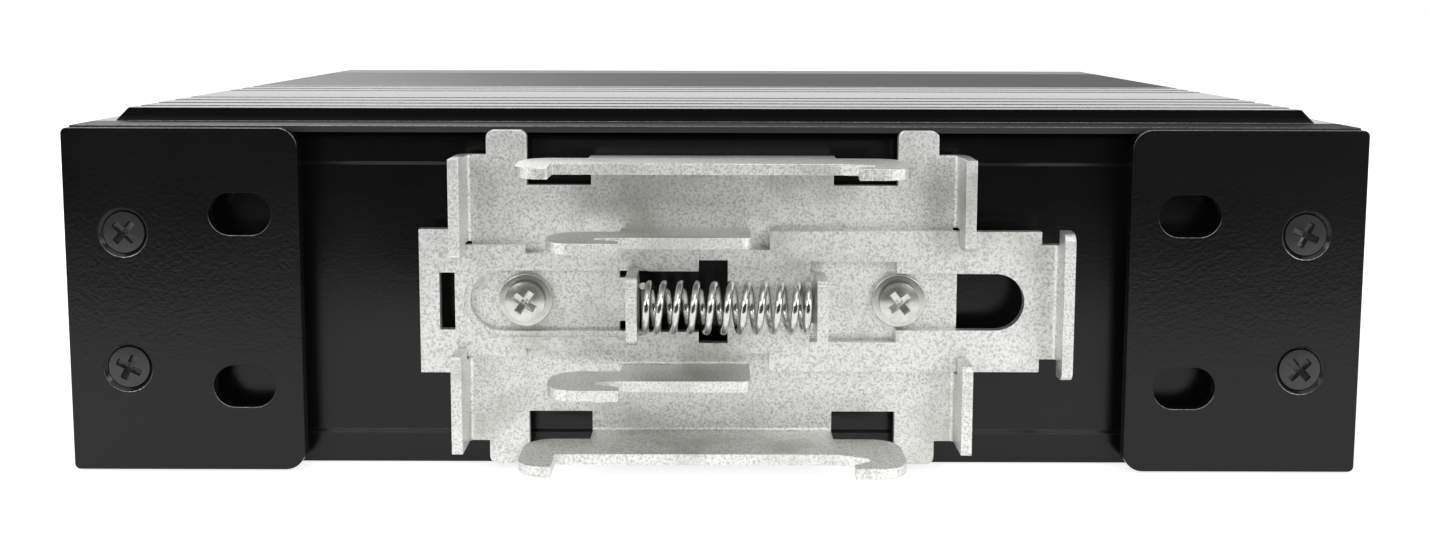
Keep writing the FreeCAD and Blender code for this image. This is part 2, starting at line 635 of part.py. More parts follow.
def add_rail_seat(body, low, high):
    """Flange whose front edge carries the rail, with a stop finger on the left and a hook on the right."""
    arm = clip_face - d.arm_clearance
    sketch = new_sketch(body, "XY_Plane", low)
    draw_outline(sketch, [
        (clip_x(-d.notch_inner), clip_back), (clip_x(d.notch_inner), clip_back),
        (clip_x(d.notch_inner), arm), (clip_x(d.hook_outer), arm),
        (clip_x(d.hook_outer), seat_face - d.tip_front), (clip_x(d.hook_tip), seat_face - d.tip_front),
        (clip_x(d.hook_tip), seat_face - d.tip_back), (clip_x(d.hook_throat), seat_face - d.throat_front),
        (clip_x(d.hook_throat), seat_face - d.throat_back), (clip_x(d.notch_inner), seat_face),
        (clip_x(-d.stop_inner), seat_face), (clip_x(-d.stop_inner), seat_face - d.stop_reach),
        (clip_x(-d.stop_outer), seat_face - d.stop_reach), (clip_x(-d.stop_outer), arm),
        (clip_x(-d.notch_inner), arm)])
    pad(body, sketch, high - low)
    band = (low, high)
    fillet(body, d.arm_radius,
           {"x": clip_x(d.hook_outer), "y": arm, "z": band},
           {"x": clip_x(-d.stop_outer), "y": arm, "z": band},
           {"x": clip_x(d.hook_outer), "y": seat_face - d.tip_front, "z": band},
           {"x": clip_x(-d.stop_outer), "y": seat_face - d.stop_reach, "z": band})


def add_fixed_tab(body):
    """Tab with shoulders over the slider that holds the spring's left end, folded out of a window."""
    face = d.fixed_tab_face
    root = face - d.clip_sheet
    cut_box(body, (clip_x(face), clip_face - 1, clip_z - d.window_half_height),
            (clip_x(d.window_reach), clip_back + 1, clip_z + d.window_half_height))
    for low, high in mirror_heights(d.fixed_tab_neck, d.fixed_tab_neck + d.tab_relief):
        cut_box(body, (clip_x(root - d.tab_relief_length), clip_face - 1, low),
                (clip_x(face), clip_back + 1, high))
    shoulder = slider_face - d.finger_gap
    tip = clip_face - d.tab_reach
    sketch = new_sketch(body, "YZ_Plane", clip_x(root))
    neck, half = d.fixed_tab_neck, d.fixed_tab_half
    draw_outline(sketch, [(clip_back, clip_z - neck), (clip_back, clip_z + neck),
                          (shoulder, clip_z + neck), (shoulder, clip_z + half), (tip, clip_z + half),
                          (tip, clip_z - half), (shoulder, clip_z - half), (shoulder, clip_z - neck)])
    pad(body, sketch, d.clip_sheet)
    band = (clip_x(root), clip_x(face))
    fillet(body, d.tab_radius, {"y": tip, "z": clip_z - half, "x": band},
           {"y": tip, "z": clip_z + half, "x": band})
    bend(body, {"x": clip_x(root), "y": clip_face}, {"x": clip_x(face), "y": clip_back,
                                                    "z": (clip_z - neck, clip_z + neck)})


def build_clip_slider():
    """Sliding plate over the fixed one: tool slot, two guide slots, two hooks, pull flange, spring tab."""
    body = new_body("clip_slider")
    shoulder = -(d.base_half_width + d.stop_gap)
    edge = d.body_half
    root = edge + d.tab_offset
    relief = d.pull_face - d.bend_radius - d.pull_relief
    upper = [(d.head_end, d.head_half), (shoulder, d.head_half), (shoulder, d.neck_half),
             (d.slider_notch_start, d.neck_half), (d.slider_notch_start, d.slider_notch_half),
             (d.slider_notch_end, d.slider_notch_half), (d.slider_notch_end, d.neck_half),
             (d.neck_end, d.neck_half), (d.neck_end, root), (d.tab_end, root),
             (d.tab_end, d.tab_relief_half), (d.tab_end + d.tab_end_relief, d.tab_relief_half),
             (d.tab_end + d.tab_end_relief, edge), (relief, edge), (relief, d.pull_root_half),
             (d.pull_face + d.clip_sheet, d.pull_root_half)]
    points = [(clip_x(x), clip_z + rise) for x, rise in upper]
    points += [(clip_x(x), clip_z - rise) for x, rise in reversed(upper)]
    plate = new_sketch(body, "XZ_Plane", slider_back)
    draw_outline(plate, points)
    pad(body, plate, d.clip_sheet)
    add_sliding_hooks(body, root)
    add_pull_flange(body)
    cut_slider_slots(body)
    add_sliding_tab(body)
    return body


def add_sliding_hooks(body, root):
    """Two hooks folded from the slider's edges, open towards the fixed hooks."""
    arm = slider_face - d.sliding_arm_clearance
    edge = seat_face + d.sliding_seat_gap
    for low, high in mirror_heights(root - d.clip_sheet, root):
        sketch = new_sketch(body, "XY_Plane", low)
        draw_outline(sketch, [
            (clip_x(d.neck_end), slider_back), (clip_x(d.tab_end), slider_back),
            (clip_x(d.tab_end), edge), (clip_x(d.sliding_hook_tip), edge),
            (clip_x(d.sliding_hook_throat), edge - d.sliding_throat_back),
            (clip_x(d.sliding_hook_throat), edge - d.sliding_throat_front),
            (clip_x(d.sliding_hook_tip), edge - d.sliding_tip_back),
            (clip_x(d.sliding_hook_tip), edge - d.sliding_tip_front),
            (clip_x(d.sliding_hook_outer), edge - d.sliding_tip_front),
            (clip_x(d.sliding_hook_outer), arm), (clip_x(d.neck_end), arm)])
        pad(body, sketch, high - low)
        band = (low, high)
        fillet(body, d.sliding_arm_radius,
               {"x": clip_x(d.sliding_hook_outer), "y": arm, "z": band},
               {"x": clip_x(d.sliding_hook_outer), "y": edge - d.sliding_tip_front, "z": band})
        fillet(body, d.tab_radius, {"x": clip_x(d.tab_end), "y": edge, "z": band})
    run = (clip_x(d.neck_end), clip_x(d.tab_end))
    for side in (-1, 1):
        bend(body, {"y": slider_face, "z": clip_z + side * (root - d.clip_sheet), "x": run},
             {"y": slider_back, "z": clip_z + side * root, "x": run})


def add_pull_flange(body):
    """Flange across the slider's right end, wider than its root."""
    shoulder = slider_face - d.bend_radius
    tip = slider_face - d.pull_reach
    narrow, wide = d.pull_root_half, d.pull_half
    sketch = new_sketch(body, "YZ_Plane", clip_x(d.pull_face))
    draw_outline(sketch, [(slider_face, clip_z - narrow), (slider_face, clip_z + narrow),
                          (shoulder, clip_z + narrow), (shoulder, clip_z + wide), (tip, clip_z + wide),
                          (tip, clip_z - wide), (shoulder, clip_z - wide), (shoulder, clip_z - narrow)])
    pad(body, sketch, d.clip_sheet)
    outside = d.pull_face + d.clip_sheet
    band = (clip_x(d.pull_face), clip_x(outside))
    fillet(body, d.tab_radius, {"y": tip, "z": clip_z - wide, "x": band},
           {"y": tip, "z": clip_z + wide, "x": band})
    bend(body, {"x": clip_x(d.pull_face), "y": slider_face},
         {"x": clip_x(outside), "y": slider_back})


def cut_slider_slots(body):
    """Tool slot, left guide slot with a bevelled rim and a cross notch, and right window with its slot."""
    through = new_sketch(body, "XZ_Plane", slider_face)
    draw_rectangle(through, (clip_x(d.tool_slot_start), clip_z - d.tool_slot_half),
                   (clip_x(d.tool_slot_end), clip_z + d.tool_slot_half))
    cut(body, through, d.clip_sheet)
    rim = new_sketch(body, "XZ_Plane", slider_face)
    left_centre = clip_x(d.left_slot_start + d.slot_half)
    rim_end = clip_x(d.fixed_tab_face - d.clip_sheet)
    draw_slot(rim, (left_centre, clip_z), (rim_end, clip_z), d.slot_half + d.slot_rim)
    cut(body, rim, d.rim_depth)
    left = new_sketch(body, "XZ_Plane", slider_face)
    draw_slot(left, (left_centre, clip_z), (clip_x(d.left_slot_end - d.slot_half), clip_z), d.slot_half)
    cut(body, left, d.clip_sheet)
    cross = new_sketch(body, "XZ_Plane", slider_face)
    draw_rectangle(cross, (clip_x(d.cross_start), clip_z - d.cross_half),
                   (clip_x(d.left_slot_end), clip_z + d.cross_half))
    cut(body, cross, d.clip_sheet)
    window = new_sketch(body, "XZ_Plane", slider_face)
    draw_rectangle(window, (clip_x(d.right_window_start), clip_z - d.right_window_half),
                   (clip_x(d.right_window_end), clip_z + d.right_window_half))
    cut(body, window, d.clip_sheet)
    narrow = new_sketch(body, "XZ_Plane", slider_face)
    draw_slot(narrow, (clip_x(d.right_window_start + d.narrow_half), clip_z),
              (clip_x(d.narrow_end - d.narrow_half), clip_z), d.narrow_half)
    cut(body, narrow, d.clip_sheet)


def add_sliding_tab(body):
    """Tab at the right window's left edge that holds the spring's right end."""
    face = d.sliding_tab_face
    outside = face + d.clip_sheet
    half = d.sliding_tab_half
    tip = clip_face - d.tab_reach
    pad_box(body, (clip_x(d.right_window_start), slider_face, clip_z - half),
            (clip_x(outside), slider_back, clip_z + half))
    sketch = new_sketch(body, "YZ_Plane", clip_x(face))
    draw_outline(sketch, [(slider_face, clip_z - half), (slider_face, clip_z + half),
                          (tip + d.sliding_tab_chamfer, clip_z + half),
                          (tip, clip_z + half - d.sliding_tab_chamfer), (tip, clip_z - half)])
    pad(body, sketch, d.clip_sheet)
    bend(body, {"x": clip_x(face), "y": slider_face, "z": (clip_z - half, clip_z + half)},
         {"x": clip_x(outside), "y": slider_back, "z": (clip_z - half, clip_z + half)})


def build_clip_spring():
    """Compression spring between the two tabs, above the slider's bridge, of wire with flat sides."""
    body = new_body("clip_spring")
    axis_y = slider_face - d.spring_clearance - d.spring_outer / 2
    start = clip_x(d.fixed_tab_face) + d.spring_seat_gap + d.spring_wire / 2
    length = d.sliding_tab_face - d.fixed_tab_face - 2 * d.spring_seat_gap - d.spring_wire
    profile = new_sketch(body, "XY_Plane", 0)
    coil = (d.spring_outer - d.spring_wire) / 2
    turns = [math.tau * (number + 0.5) / WIRE_SIDES for number in range(WIRE_SIDES)]
    draw_outline(profile, [(start + d.spring_wire * (math.cos(turn) / 2), coil + d.spring_wire * (math.sin(turn) / 2))
                           for turn in turns])
    helix = body.newObject("PartDesign::AdditiveHelix", "clip_spring_helix")
    helix.Profile = (profile, [""])
    helix.ReferenceAxis = (profile, ["H_Axis"])
    helix.Mode = "height-turns-angle"
    helix.LeftHanded = True
    bind(helix, "Height", length)
    bind(helix, "Turns", d.spring_turns)
    update(helix)
    bind(body, "Placement.Base.y", axis_y)
    bind(body, "Placement.Base.z", clip_z)
    return body


def build_clip_screws():
    """Two washer-head screws that hold the fixed plate."""
    body = new_body("clip_screws", several=True)
    layers = ((clip_face, d.clip_flange, d.clip_flange_height, False),
              (clip_face - d.clip_flange_height, d.clip_head, d.clip_head_height, False),
              (clip_face, d.screw_shank,
               d.clip_sheet + d.clip_standoff + d.rear_wall + d.clip_screw_reach, True))
    for face, diameter, length, backwards in layers:
        sketch = new_sketch(body, "XZ_Plane", face)
        for side in (-1, 1):
            draw_circle(sketch, (clip_x(side * clip_screw_half), clip_z), diameter)
        pad(body, sketch, length, backwards=backwards)
    head_face = clip_face - d.clip_flange_height - d.clip_head_height
    chamfer(body, d.clip_head_height / 3, {"y": head_face})
    return body


def build_rings(label, face, length, outer, hole, places):
    """Round or spacer pieces with a hole along Y, as separate solids that start at a face."""
    body = new_body(label, several=True)
    sketch = new_sketch(body, "XZ_Plane", face)
    for place in places:
        draw_circle(sketch, place, outer)
        draw_circle(sketch, place, hole)
    pad(body, sketch, length, backwards=True)
    return body


# ---------------------------------------------------------------- board and ports

def build_circuit_board():
    """Board over the case's floor, with a hole at each standoff."""
    body = new_body("circuit_board")
    pad_box(body, (-board_half, board_rear, board_bottom), (board_half, board_front, board_top))
    holes = new_sketch(body, "XY_Plane", board_top)
    for place in board_screw_places():
        draw_circle(holes, place, d.screw_shank + 4 * d.thread_gap)
    cut(body, holes, d.board_thickness)
    return body


def board_screw_places():
    """The four standoffs of the board."""
    return [(side * board_screw_x, place) for side in (-1, 1) for place in board_screw_ys]


def build_board_standoffs():
    """Round pillars between the floor and the board."""
    body = new_body("board_standoffs", several=True)
    sketch = new_sketch(body, "XY_Plane", d.floor_sheet)
    for place in board_screw_places():
        draw_circle(sketch, place, d.standoff_width)
        draw_circle(sketch, place, d.screw_shank + 2 * d.thread_gap)
    pad(body, sketch, d.standoff_height)
    return body


def build_board_screws():
    """Pan-head screws down through the board into the standoffs."""
    body = new_body("board_screws", several=True)
    heads = new_sketch(body, "XY_Plane", board_top)
    shanks = new_sketch(body, "XY_Plane", board_top)
    for place in board_screw_places():
        draw_circle(heads, place, d.pan_head)
        draw_circle(shanks, place, d.screw_shank)
    pad(body, heads, d.pan_head_height)
    pad(body, shanks, d.board_thickness + d.board_screw_reach, backwards=True)
    chamfer(body, d.pan_head_height / 3, {"z": board_top + d.pan_head_height})
    return body


def build_jack_block(label, start):
    """Row of modular sockets in one housing, each with a recess for the plug's latch."""
    body = new_body(label)
    pad_box(body, (start, jack_rear, board_top), (start + jack_length, jack_face, board_top + d.jack_height))
    low = board_top + d.port_bottom
    high = low + d.port_height
    latch = high + d.latch_height
    half = d.latch_width / 2
    sockets = new_sketch(body, "XZ_Plane", jack_face - d.port_depth)
    for centre in port_centres(start):
        draw_outline(sockets, [(centre - port_half, low), (centre + port_half, low),
                               (centre + port_half, high), (centre + half, high), (centre + half, latch),
                               (centre - half, latch), (centre - half, high), (centre - port_half, high)])
    cut(body, sockets, d.port_depth)
    return body


def build_magnetics():
    """One isolation transformer behind each port."""
    body = new_body("magnetics", several=True)
    sketch = new_sketch(body, "XY_Plane", board_top)
    back = jack_rear - d.magnetic_gap
    for start in jack_starts.values():
        for centre in port_centres(start):
            draw_rectangle(sketch, (centre - d.magnetic_width / 2, back - d.magnetic_depth),
                           (centre + d.magnetic_width / 2, back))
    pad(body, sketch, d.magnetic_height)
    return body


def build_light_pipes():
    """Clear bars over the jacks that bring each port's light from the board to the front."""
    body = new_body("light_pipes", several=True)
    sketch = new_sketch(body, "XY_Plane", pipe_bottom)
    legs = new_sketch(body, "XY_Plane", board_top)
    for start in jack_starts.values():
        centres = port_centres(start)
        half = d.pipe_side / 2
        for centre in centres:
            draw_rectangle(sketch, (centre - half, pipe_leg), (centre + half, front + d.pipe_proud))
            draw_rectangle(legs, (centre - half, pipe_leg), (centre + half, pipe_leg + d.pipe_side))
    pad(body, sketch, d.pipe_side)
    pad(body, legs, d.pipe_height)
    bars = new_sketch(body, "XY_Plane", pipe_bottom - d.pipe_side)
    for start in jack_starts.values():
        centres = port_centres(start)
        draw_rectangle(bars, (centres[0], pipe_leg), (centres[-1], pipe_leg + d.pipe_side))
    pad(body, bars, d.pipe_side)
    return body


def build_terminal_socket():
    """Shroud of the power connector, open to the front."""
    body = new_body("terminal_socket")
    pad_box(body, (socket_start, socket_rear, board_top), (socket_end, front, socket_top))
    cut_box(body, (plug_start, socket_rear + d.socket_wall, board_top + d.socket_wall),
            (plug_end, front + 1, socket_top - d.socket_wall))
    return body


def build_terminal_plug():
    """Screw-terminal plug in the shroud: wire mouths in its front and screw wells in its top."""
    body = new_body("terminal_plug")
    low, high = board_top + d.socket_wall + d.fit_gap, socket_top - d.socket_wall - d.fit_gap
    pad_box(body, (plug_start + d.fit_gap, socket_rear + d.socket_wall + d.fit_gap, low),
            (plug_end - d.fit_gap, front + d.plug_reach, high))
    mouths = new_sketch(body, "XZ_Plane", front)
    wells = new_sketch(body, "XY_Plane", high)
    for place in plug_screw_xs():
        draw_circle(mouths, (place, (low + high) / 2), d.plug_hole)
        draw_circle(wells, (place, front + d.plug_reach / 2), d.plug_screw + 2 * d.fit_gap)
    cut(body, mouths, d.plug_reach)
    cut(body, wells, d.plug_screw / 2)
    return body


def plug_screw_xs():
    """Middles of the plug's ways."""
    return [plug_start + d.plug_pitch * (number + 0.5) for number in range(int(d.plug_ways.value))]


def build_terminal_screws():
    """Clamp screws in the plug's wells."""
    body = new_body("terminal_screws", several=True)
    high = socket_top - d.socket_wall - d.fit_gap
    sketch = new_sketch(body, "XY_Plane", high - d.plug_screw / 2)
    for place in plug_screw_xs():
        draw_circle(sketch, (place, front + d.plug_reach / 2), d.plug_screw)
    pad(body, sketch, d.plug_screw / 3)
    return body


def build_chip():
    """Square switch chip in the middle of the board."""
    body = new_body("switch_chip")
    half = d.chip_side / 2
    pad_box(body, (-half, chip_y - half, board_top), (half, chip_y + half, board_top + d.chip_height))
    return body


def build_heat_sink():
    """Finned sink on the chip."""
    body = new_body("chip_heatsink")
    half = d.sink_side / 2
    bottom = board_top + d.chip_height
    pad_box(body, (-half, chip_y - half, bottom), (half, chip_y + half, bottom + d.sink_base))
    fins = new_sketch(body, "XZ_Plane", chip_y - half)
    first = -d.fin_pitch * (d.fin_count - 1) / 2
    for number in range(int(d.fin_count.value)):
        middle = first + d.fin_pitch * number
        draw_rectangle(fins, (middle - d.fin_thickness / 2, bottom + d.sink_base / 2),
                       (middle + d.fin_thickness / 2, bottom + d.sink_height))
    pad(body, fins, d.sink_side, backwards=True)
    return body


def build_capacitors():
    """Row of upright electrolytic capacitors behind the power connector."""
    body = new_body("capacitors", several=True)
    sketch = new_sketch(body, "XY_Plane", board_top)
    for number in range(int(d.capacitor_count.value)):
        draw_circle(sketch, (power_x, power_y + d.capacitor_pitch * number), d.capacitor_diameter)
    pad(body, sketch, d.capacitor_height)
    chamfer(body, d.capacitor_diameter / 14, {"z": board_top + d.capacitor_height})
    return body


def build_inductor():
    """Square power choke beside the capacitors."""
    body = new_body("power_inductor")
    half = d.inductor_side / 2
    middle = power_x - d.capacitor_diameter / 2 - d.inductor_side
    pad_box(body, (middle - half, power_y - half, board_top),
            (middle + half, power_y + half, board_top + d.inductor_height))
    fillet(body, d.inductor_side / 8, {"x": middle - half, "y": power_y - half},
           {"x": middle - half, "y": power_y + half}, {"x": middle + half, "y": power_y - half},
           {"x": middle + half, "y": power_y + half})
    return body


def build_earth_screw():
    """Earth screw in the front plate over its washer."""
    body = new_body("earth_screw")
    face = front + d.earth_washer_sheet
    layers = ((face + d.earth_head_height, d.earth_head, d.earth_head_height),
              (face, d.earth_shank, d.earth_washer_sheet + d.panel_sheet + d.earth_head_height))
    for start, diameter, length in layers:
        sketch = new_sketch(body, "XZ_Plane", start)
        draw_circle(sketch, (earth_x, earth_z), diameter)
        pad(body, sketch, length)
    chamfer(body, d.earth_head_height / 3, {"y": face + d.earth_head_height})
    return body


chip_y = rear_inside + (jack_rear - rear_inside) / 2 - d.magnetic_gap
power_x = board_half - d.capacitor_diameter
power_y = board_rear + 2 * d.capacitor_diameter


def build_all():
    """Every sub-part of the switch."""
    build_chassis()
    build_top_cover()
    build_front_panel()
    build_ear("ear_left", -1)
    build_ear("ear_right", 1)
    screw_heights = [ear_middle + rise * d.ear_screw_spacing for rise in (-0.5, 0.5)]
    build_sunk_screws("ear_screws", "XZ_Plane", ear_face,
                      [(side * ear_screw_x, height) for side in (-1, 1) for height in screw_heights], -1)
    build_sunk_screws("front_screws", "XZ_Plane", front,
                      [(side * post_half, front_screw_z) for side in (-1, 1)], 1)
    for label, side in (("cover_screws_left", -1), ("cover_screws_right", 1)):
        build_sunk_screws(label, "YZ_Plane", side * case_half,
                          [(place, lip_screw_z) for place in lip_screw_ys], side)
    build_clip_base()
    build_clip_slider()
    build_clip_spring()
    build_clip_screws()
    clip_places = [(clip_x(side * clip_screw_half), clip_z) for side in (-1, 1)]
    build_rings("clip_spacers", clip_back, d.clip_standoff + d.field_step, d.clip_spacer_side,
                d.screw_shank + 4 * d.thread_gap, clip_places)
    build_rings("clip_nuts", rear_inside, d.clip_nut_height, d.clip_spacer_side,
                d.screw_shank + 2 * d.thread_gap, clip_places)
    build_circuit_board()
    build_board_standoffs()
    build_board_screws()
    for label, start in jack_starts.items():
        build_jack_block(label, start)
    build_magnetics()
    build_light_pipes()
    build_terminal_socket()
    build_terminal_plug()
    build_terminal_screws()
    build_chip()
    build_heat_sink()
    build_capacitors()
    build_inductor()
    build_earth_screw()
    build_rings("earth_washer", front, d.earth_washer_sheet, d.earth_washer,
                d.earth_shank + 2 * d.thread_gap, [(earth_x, earth_z)])


def check_and_export():
    """Stop at the first failed object, then write every sub-part."""
    doc.recompute()
    for item in doc.Objects:
        if "Invalid" in item.State or "Error" in item.State:
            raise RuntimeError(f"{item.Name} failed: {item.State}")
    for item in sub_parts:
        if item.Shape.isNull() or not item.Shape.isValid():
            raise RuntimeError(f"{item.Label} has no valid shape")
    os.makedirs("parts", exist_ok=True)
    for item in sub_parts:
        item.Shape.exportStep(f"parts/{item.Label}.step")
        print(f"{item.Label}: {len(item.Shape.Solids)} solid(s), {item.Shape.Volume:.1f} mm3")


build_all()
check_and_export()
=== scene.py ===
"""Looks of the slim DIN rail ethernet switch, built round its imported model.

X runs along the case's long side, -Y is the rail side, +Y the port side and Z is up. Lengths are metres.
"""
import logging
import math
from dataclasses import dataclass, field
from enum import Enum
from typing import Sequence

import bmesh
import bpy
import numpy as np
from mathutils import Matrix, Vector


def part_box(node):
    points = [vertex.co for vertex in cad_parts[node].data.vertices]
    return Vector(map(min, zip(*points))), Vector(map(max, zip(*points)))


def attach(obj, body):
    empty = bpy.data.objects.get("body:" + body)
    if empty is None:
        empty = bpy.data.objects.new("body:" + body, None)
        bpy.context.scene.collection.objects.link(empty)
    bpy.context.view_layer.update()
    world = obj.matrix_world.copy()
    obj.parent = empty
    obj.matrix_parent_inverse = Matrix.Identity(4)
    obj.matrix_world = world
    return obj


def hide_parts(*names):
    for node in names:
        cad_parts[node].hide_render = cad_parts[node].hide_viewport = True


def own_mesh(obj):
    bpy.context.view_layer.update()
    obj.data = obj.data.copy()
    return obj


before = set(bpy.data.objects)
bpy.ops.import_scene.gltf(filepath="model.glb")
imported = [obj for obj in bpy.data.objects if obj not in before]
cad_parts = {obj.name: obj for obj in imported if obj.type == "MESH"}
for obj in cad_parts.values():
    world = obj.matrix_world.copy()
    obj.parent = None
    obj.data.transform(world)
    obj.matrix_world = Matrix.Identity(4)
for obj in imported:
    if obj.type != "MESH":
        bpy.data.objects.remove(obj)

LOG = logging.getLogger("ethernet_switch")
MM = 0.001
WHITE = (1, 1, 1, 1)
COLOUR_MIX_INPUTS = (0, 6, 7)
COLOUR_MIX_OUTPUT = 2

Socket = bpy.types.NodeSocket
Colour = tuple[float, float, float]


class Body(Enum):
    """Rigid bodies of the model."""

    SWITCH = "switch"
    SLIDER = "slider"


class Facing(Enum):
    """Ways that a round head can look, as its outward, right-hand and upward directions."""

    RAIL = ((0, -1, 0), (1, 0, 0), (0, 0, 1))
    PORTS = ((0, 1, 0), (-1, 0, 0), (0, 0, 1))
    LEFT = ((-1, 0, 0), (0, -1, 0), (0, 0, 1))
    RIGHT = ((1, 0, 0), (0, 1, 0), (0, 0, 1))
    UP = ((0, 0, 1), (1, 0, 0), (0, 1, 0))


class Recess(Enum):
    """Driver recesses of the screw heads."""

    CROSS = "cross"
    SLOT = "slot"


# ---------- finishes


@dataclass
class NodeBoard:
    """A node tree under construction, with short ways to add and join its nodes."""

    tree: bpy.types.NodeTree

    def add(self, kind: str, **values: object) -> bpy.types.Node:
        """Adds a node and sets its options, or its inputs where the name is an input's.

        Args:
            kind: the node's type name.
            values: options and input values, with underscores for spaces in inputs.

        Returns:
            The new node.
        """
        node = self.tree.nodes.new(kind)
        for key, value in values.items():
            socket = node.inputs.get(key.replace("_", " "))
            if socket is None:
                setattr(node, key, value)
            else:
                self.feed(socket, value)
        return node

    def join(self, source: Socket, target: Socket) -> None:
        """Joins two sockets."""
        self.tree.links.new(source, target)

    def feed(self, socket: Socket, value: object) -> None:
        """Joins a value's socket to an input, or sets the input to a plain value."""
        if isinstance(value, Socket):
            self.join(value, socket)
        else:
            socket.default_value = value

    def combine(self, operation: str, *values: Socket | float) -> Socket:
        """Works out one number from others.

        Args:
            operation: the Math node's operation.
            values: its inputs in order.

        Returns:
            The result's socket.
        """
        node = self.add("ShaderNodeMath", operation=operation)
        for socket, value in zip(node.inputs, values):
            self.feed(socket, value)
        return node.outputs[0]

    def combine_vectors(self, operation: str, *values: Socket | Sequence[float]) -> Socket:
        """The same for vectors, with a vector as its result or, for LENGTH, a number."""
        node = self.add("ShaderNodeVectorMath", operation=operation)
        for socket, value in zip(node.inputs, values):
            self.feed(socket, value)
        return node.outputs["Value" if operation == "LENGTH" else "Vector"]

    def ramp(self, value: Socket, low: float, high: float, start: float = 0.0, end: float = 1.0,
             kind: str = "LINEAR") -> Socket:
        """The value stretched from one range to another and held at its ends.

        Args:
            value: socket to stretch.
            low: value that gives start.
            high: value that gives end.
            start: result at low.
            end: result at high.
            kind: how the result goes from start to end.

        Returns:
            The stretched value's socket.
        """
        node = self.add("ShaderNodeMapRange", interpolation_type=kind, Value=value,
                        From_Min=low, From_Max=high, To_Min=start, To_Max=end)
        return node.outputs["Result"]


class MaterialBoard(NodeBoard):
    """A material under construction on a principled shader."""

    def __init__(self, name: str, colour: Colour, roughness: float, metallic: float = 0.0) -> None:
        """Makes the material and sets its shader's plain values.

        Args:
            name: the material's name.
            colour: base colour.
            roughness: width of the gloss.
            metallic: 1 for bare metal.
        """
        self.material = bpy.data.materials.new(name)
        self.material.use_nodes = True
        super().__init__(self.material.node_tree)
        self.shader = self.tree.nodes["Principled BSDF"]
        self.place = self.add("ShaderNodeTexCoord").outputs["Object"]
        self.drive("Base Color", (*colour, 1))
        self.drive("Roughness", roughness)
        self.drive("Metallic", metallic)

    def drive(self, name: str, value: object) -> None:
        """Joins or sets one of the shader's inputs."""
        self.feed(self.shader.inputs[name], value)

    def noise(self, grain: float, detail: float = 2.0, roughness: float = 0.5,
              place: Socket | None = None) -> Socket:
        """Noise whose blobs are about one grain wide.

        Args:
            grain: width of a blob in metres.
            detail: number of finer layers.
            roughness: weight of the finer layers.
            place: coordinates, the object's own if none are given.

        Returns:
            The noise's value socket.
        """
        node = self.add("ShaderNodeTexNoise", Vector=place or self.place, Scale=1 / grain,
                        Detail=detail, Roughness=roughness)
        return node.outputs["Fac"]

    def blend(self, share: Socket, first: Colour, second: Colour, base: Socket | None = None) -> Socket:
        """A colour that goes from the first to the second as the share rises.

        Args:
            share: mixing value from 0 to 1.
            first: colour at 0, unless base is given.
            second: colour at 1.
            base: colour socket used at 0.

        Returns:
            The mixed colour's socket.
        """
        node = self.add("ShaderNodeMix", data_type="RGBA")
        mixing, at_zero, at_one = (node.inputs[number] for number in COLOUR_MIX_INPUTS)
        self.feed(mixing, share)
        self.feed(at_zero, base or (*first, 1))
        self.feed(at_one, (*second, 1))
        return node.outputs[COLOUR_MIX_OUTPUT]

    def relief(self, *layers: tuple[Socket, float]) -> None:
        """Stacks height maps under the shader's normal.

        Args:
            layers: height sockets and the height in metres that each one's full range stands for.
        """
        normal = None
        for height, depth in layers:
            node = self.add("ShaderNodeBump", Strength=1.0, Distance=depth, Height=height)
            if normal is not None:
                self.join(normal, node.inputs["Normal"])
            normal = node.outputs["Normal"]
        self.drive("Normal", normal)


@dataclass(frozen=True)
class PowderCoat:
    """Black coat with a fine grain and a gloss that varies a little from patch to patch."""

    name: str
    colour: Colour = (0.003, 0.003, 0.003)
    roughness: float = 0.20
    grain: float = 0.32 * MM
    depth: float = 0.012 * MM
    sheen_spread: float = 0.03
    patch_grains: float = 40.0
    patch_range: tuple[float, float] = (0.3, 0.7)
    gloss: float = 0.3

    def make(self) -> bpy.types.Material:
        """Builds the material.

        Returns:
            A dark coat whose relief is fine noise and whose roughness follows wide noise.
        """
        board = MaterialBoard(self.name, self.colour, self.roughness)
        board.drive("Specular IOR Level", self.gloss)
        grain = board.noise(self.grain, 3.0, 0.6)
        patch = board.noise(self.grain * self.patch_grains)
        board.drive("Roughness", board.ramp(patch, *self.patch_range, self.roughness - self.sheen_spread,
                                            self.roughness + self.sheen_spread))
        board.relief((grain, self.depth))
        return board.material


@dataclass(frozen=True)
class PaintedEdgeHighlight:
    """Painted highlight on rounded edges: bright metal in glints on the rounds that look upwards, and the
    black coat on the others.
    """

    name: str = "painted_edge_highlight"
    highlight_metal: Colour = (0.42, 0.42, 0.42)
    coat: Colour = (0.02, 0.02, 0.02)
    roughness: float = 0.3
    glint_grain: float = 0.30 * MM
    glint_range: tuple[float, float] = (0.36, 0.6)
    least_highlight: float = 0.15
    highlight_slope: float = 0.45
    depth: float = 0.03 * MM

    def make(self) -> bpy.types.Material:
        """Builds the material.

        Returns:
            A metal that is bright in glints on edges that look upwards, as a painted highlight, and coated on
            the others.
        """
        board = MaterialBoard(self.name, self.coat, self.roughness, 1.0)
        glints = board.noise(self.glint_grain, 3.0, 0.7)
        facing = board.add("ShaderNodeNewGeometry").outputs["Normal"]
        up = board.add("ShaderNodeSeparateXYZ", Vector=facing).outputs["Z"]
        # painted highlight: bright metal only where the glint noise is high and the round looks upwards
        share = board.combine("MULTIPLY", board.ramp(glints, *self.glint_range, self.least_highlight, 1.0),
                              board.ramp(up, 0.0, self.highlight_slope))
        board.drive("Base Color", board.blend(share, self.coat, self.highlight_metal))
        board.relief((glints, self.depth))
        return board.material


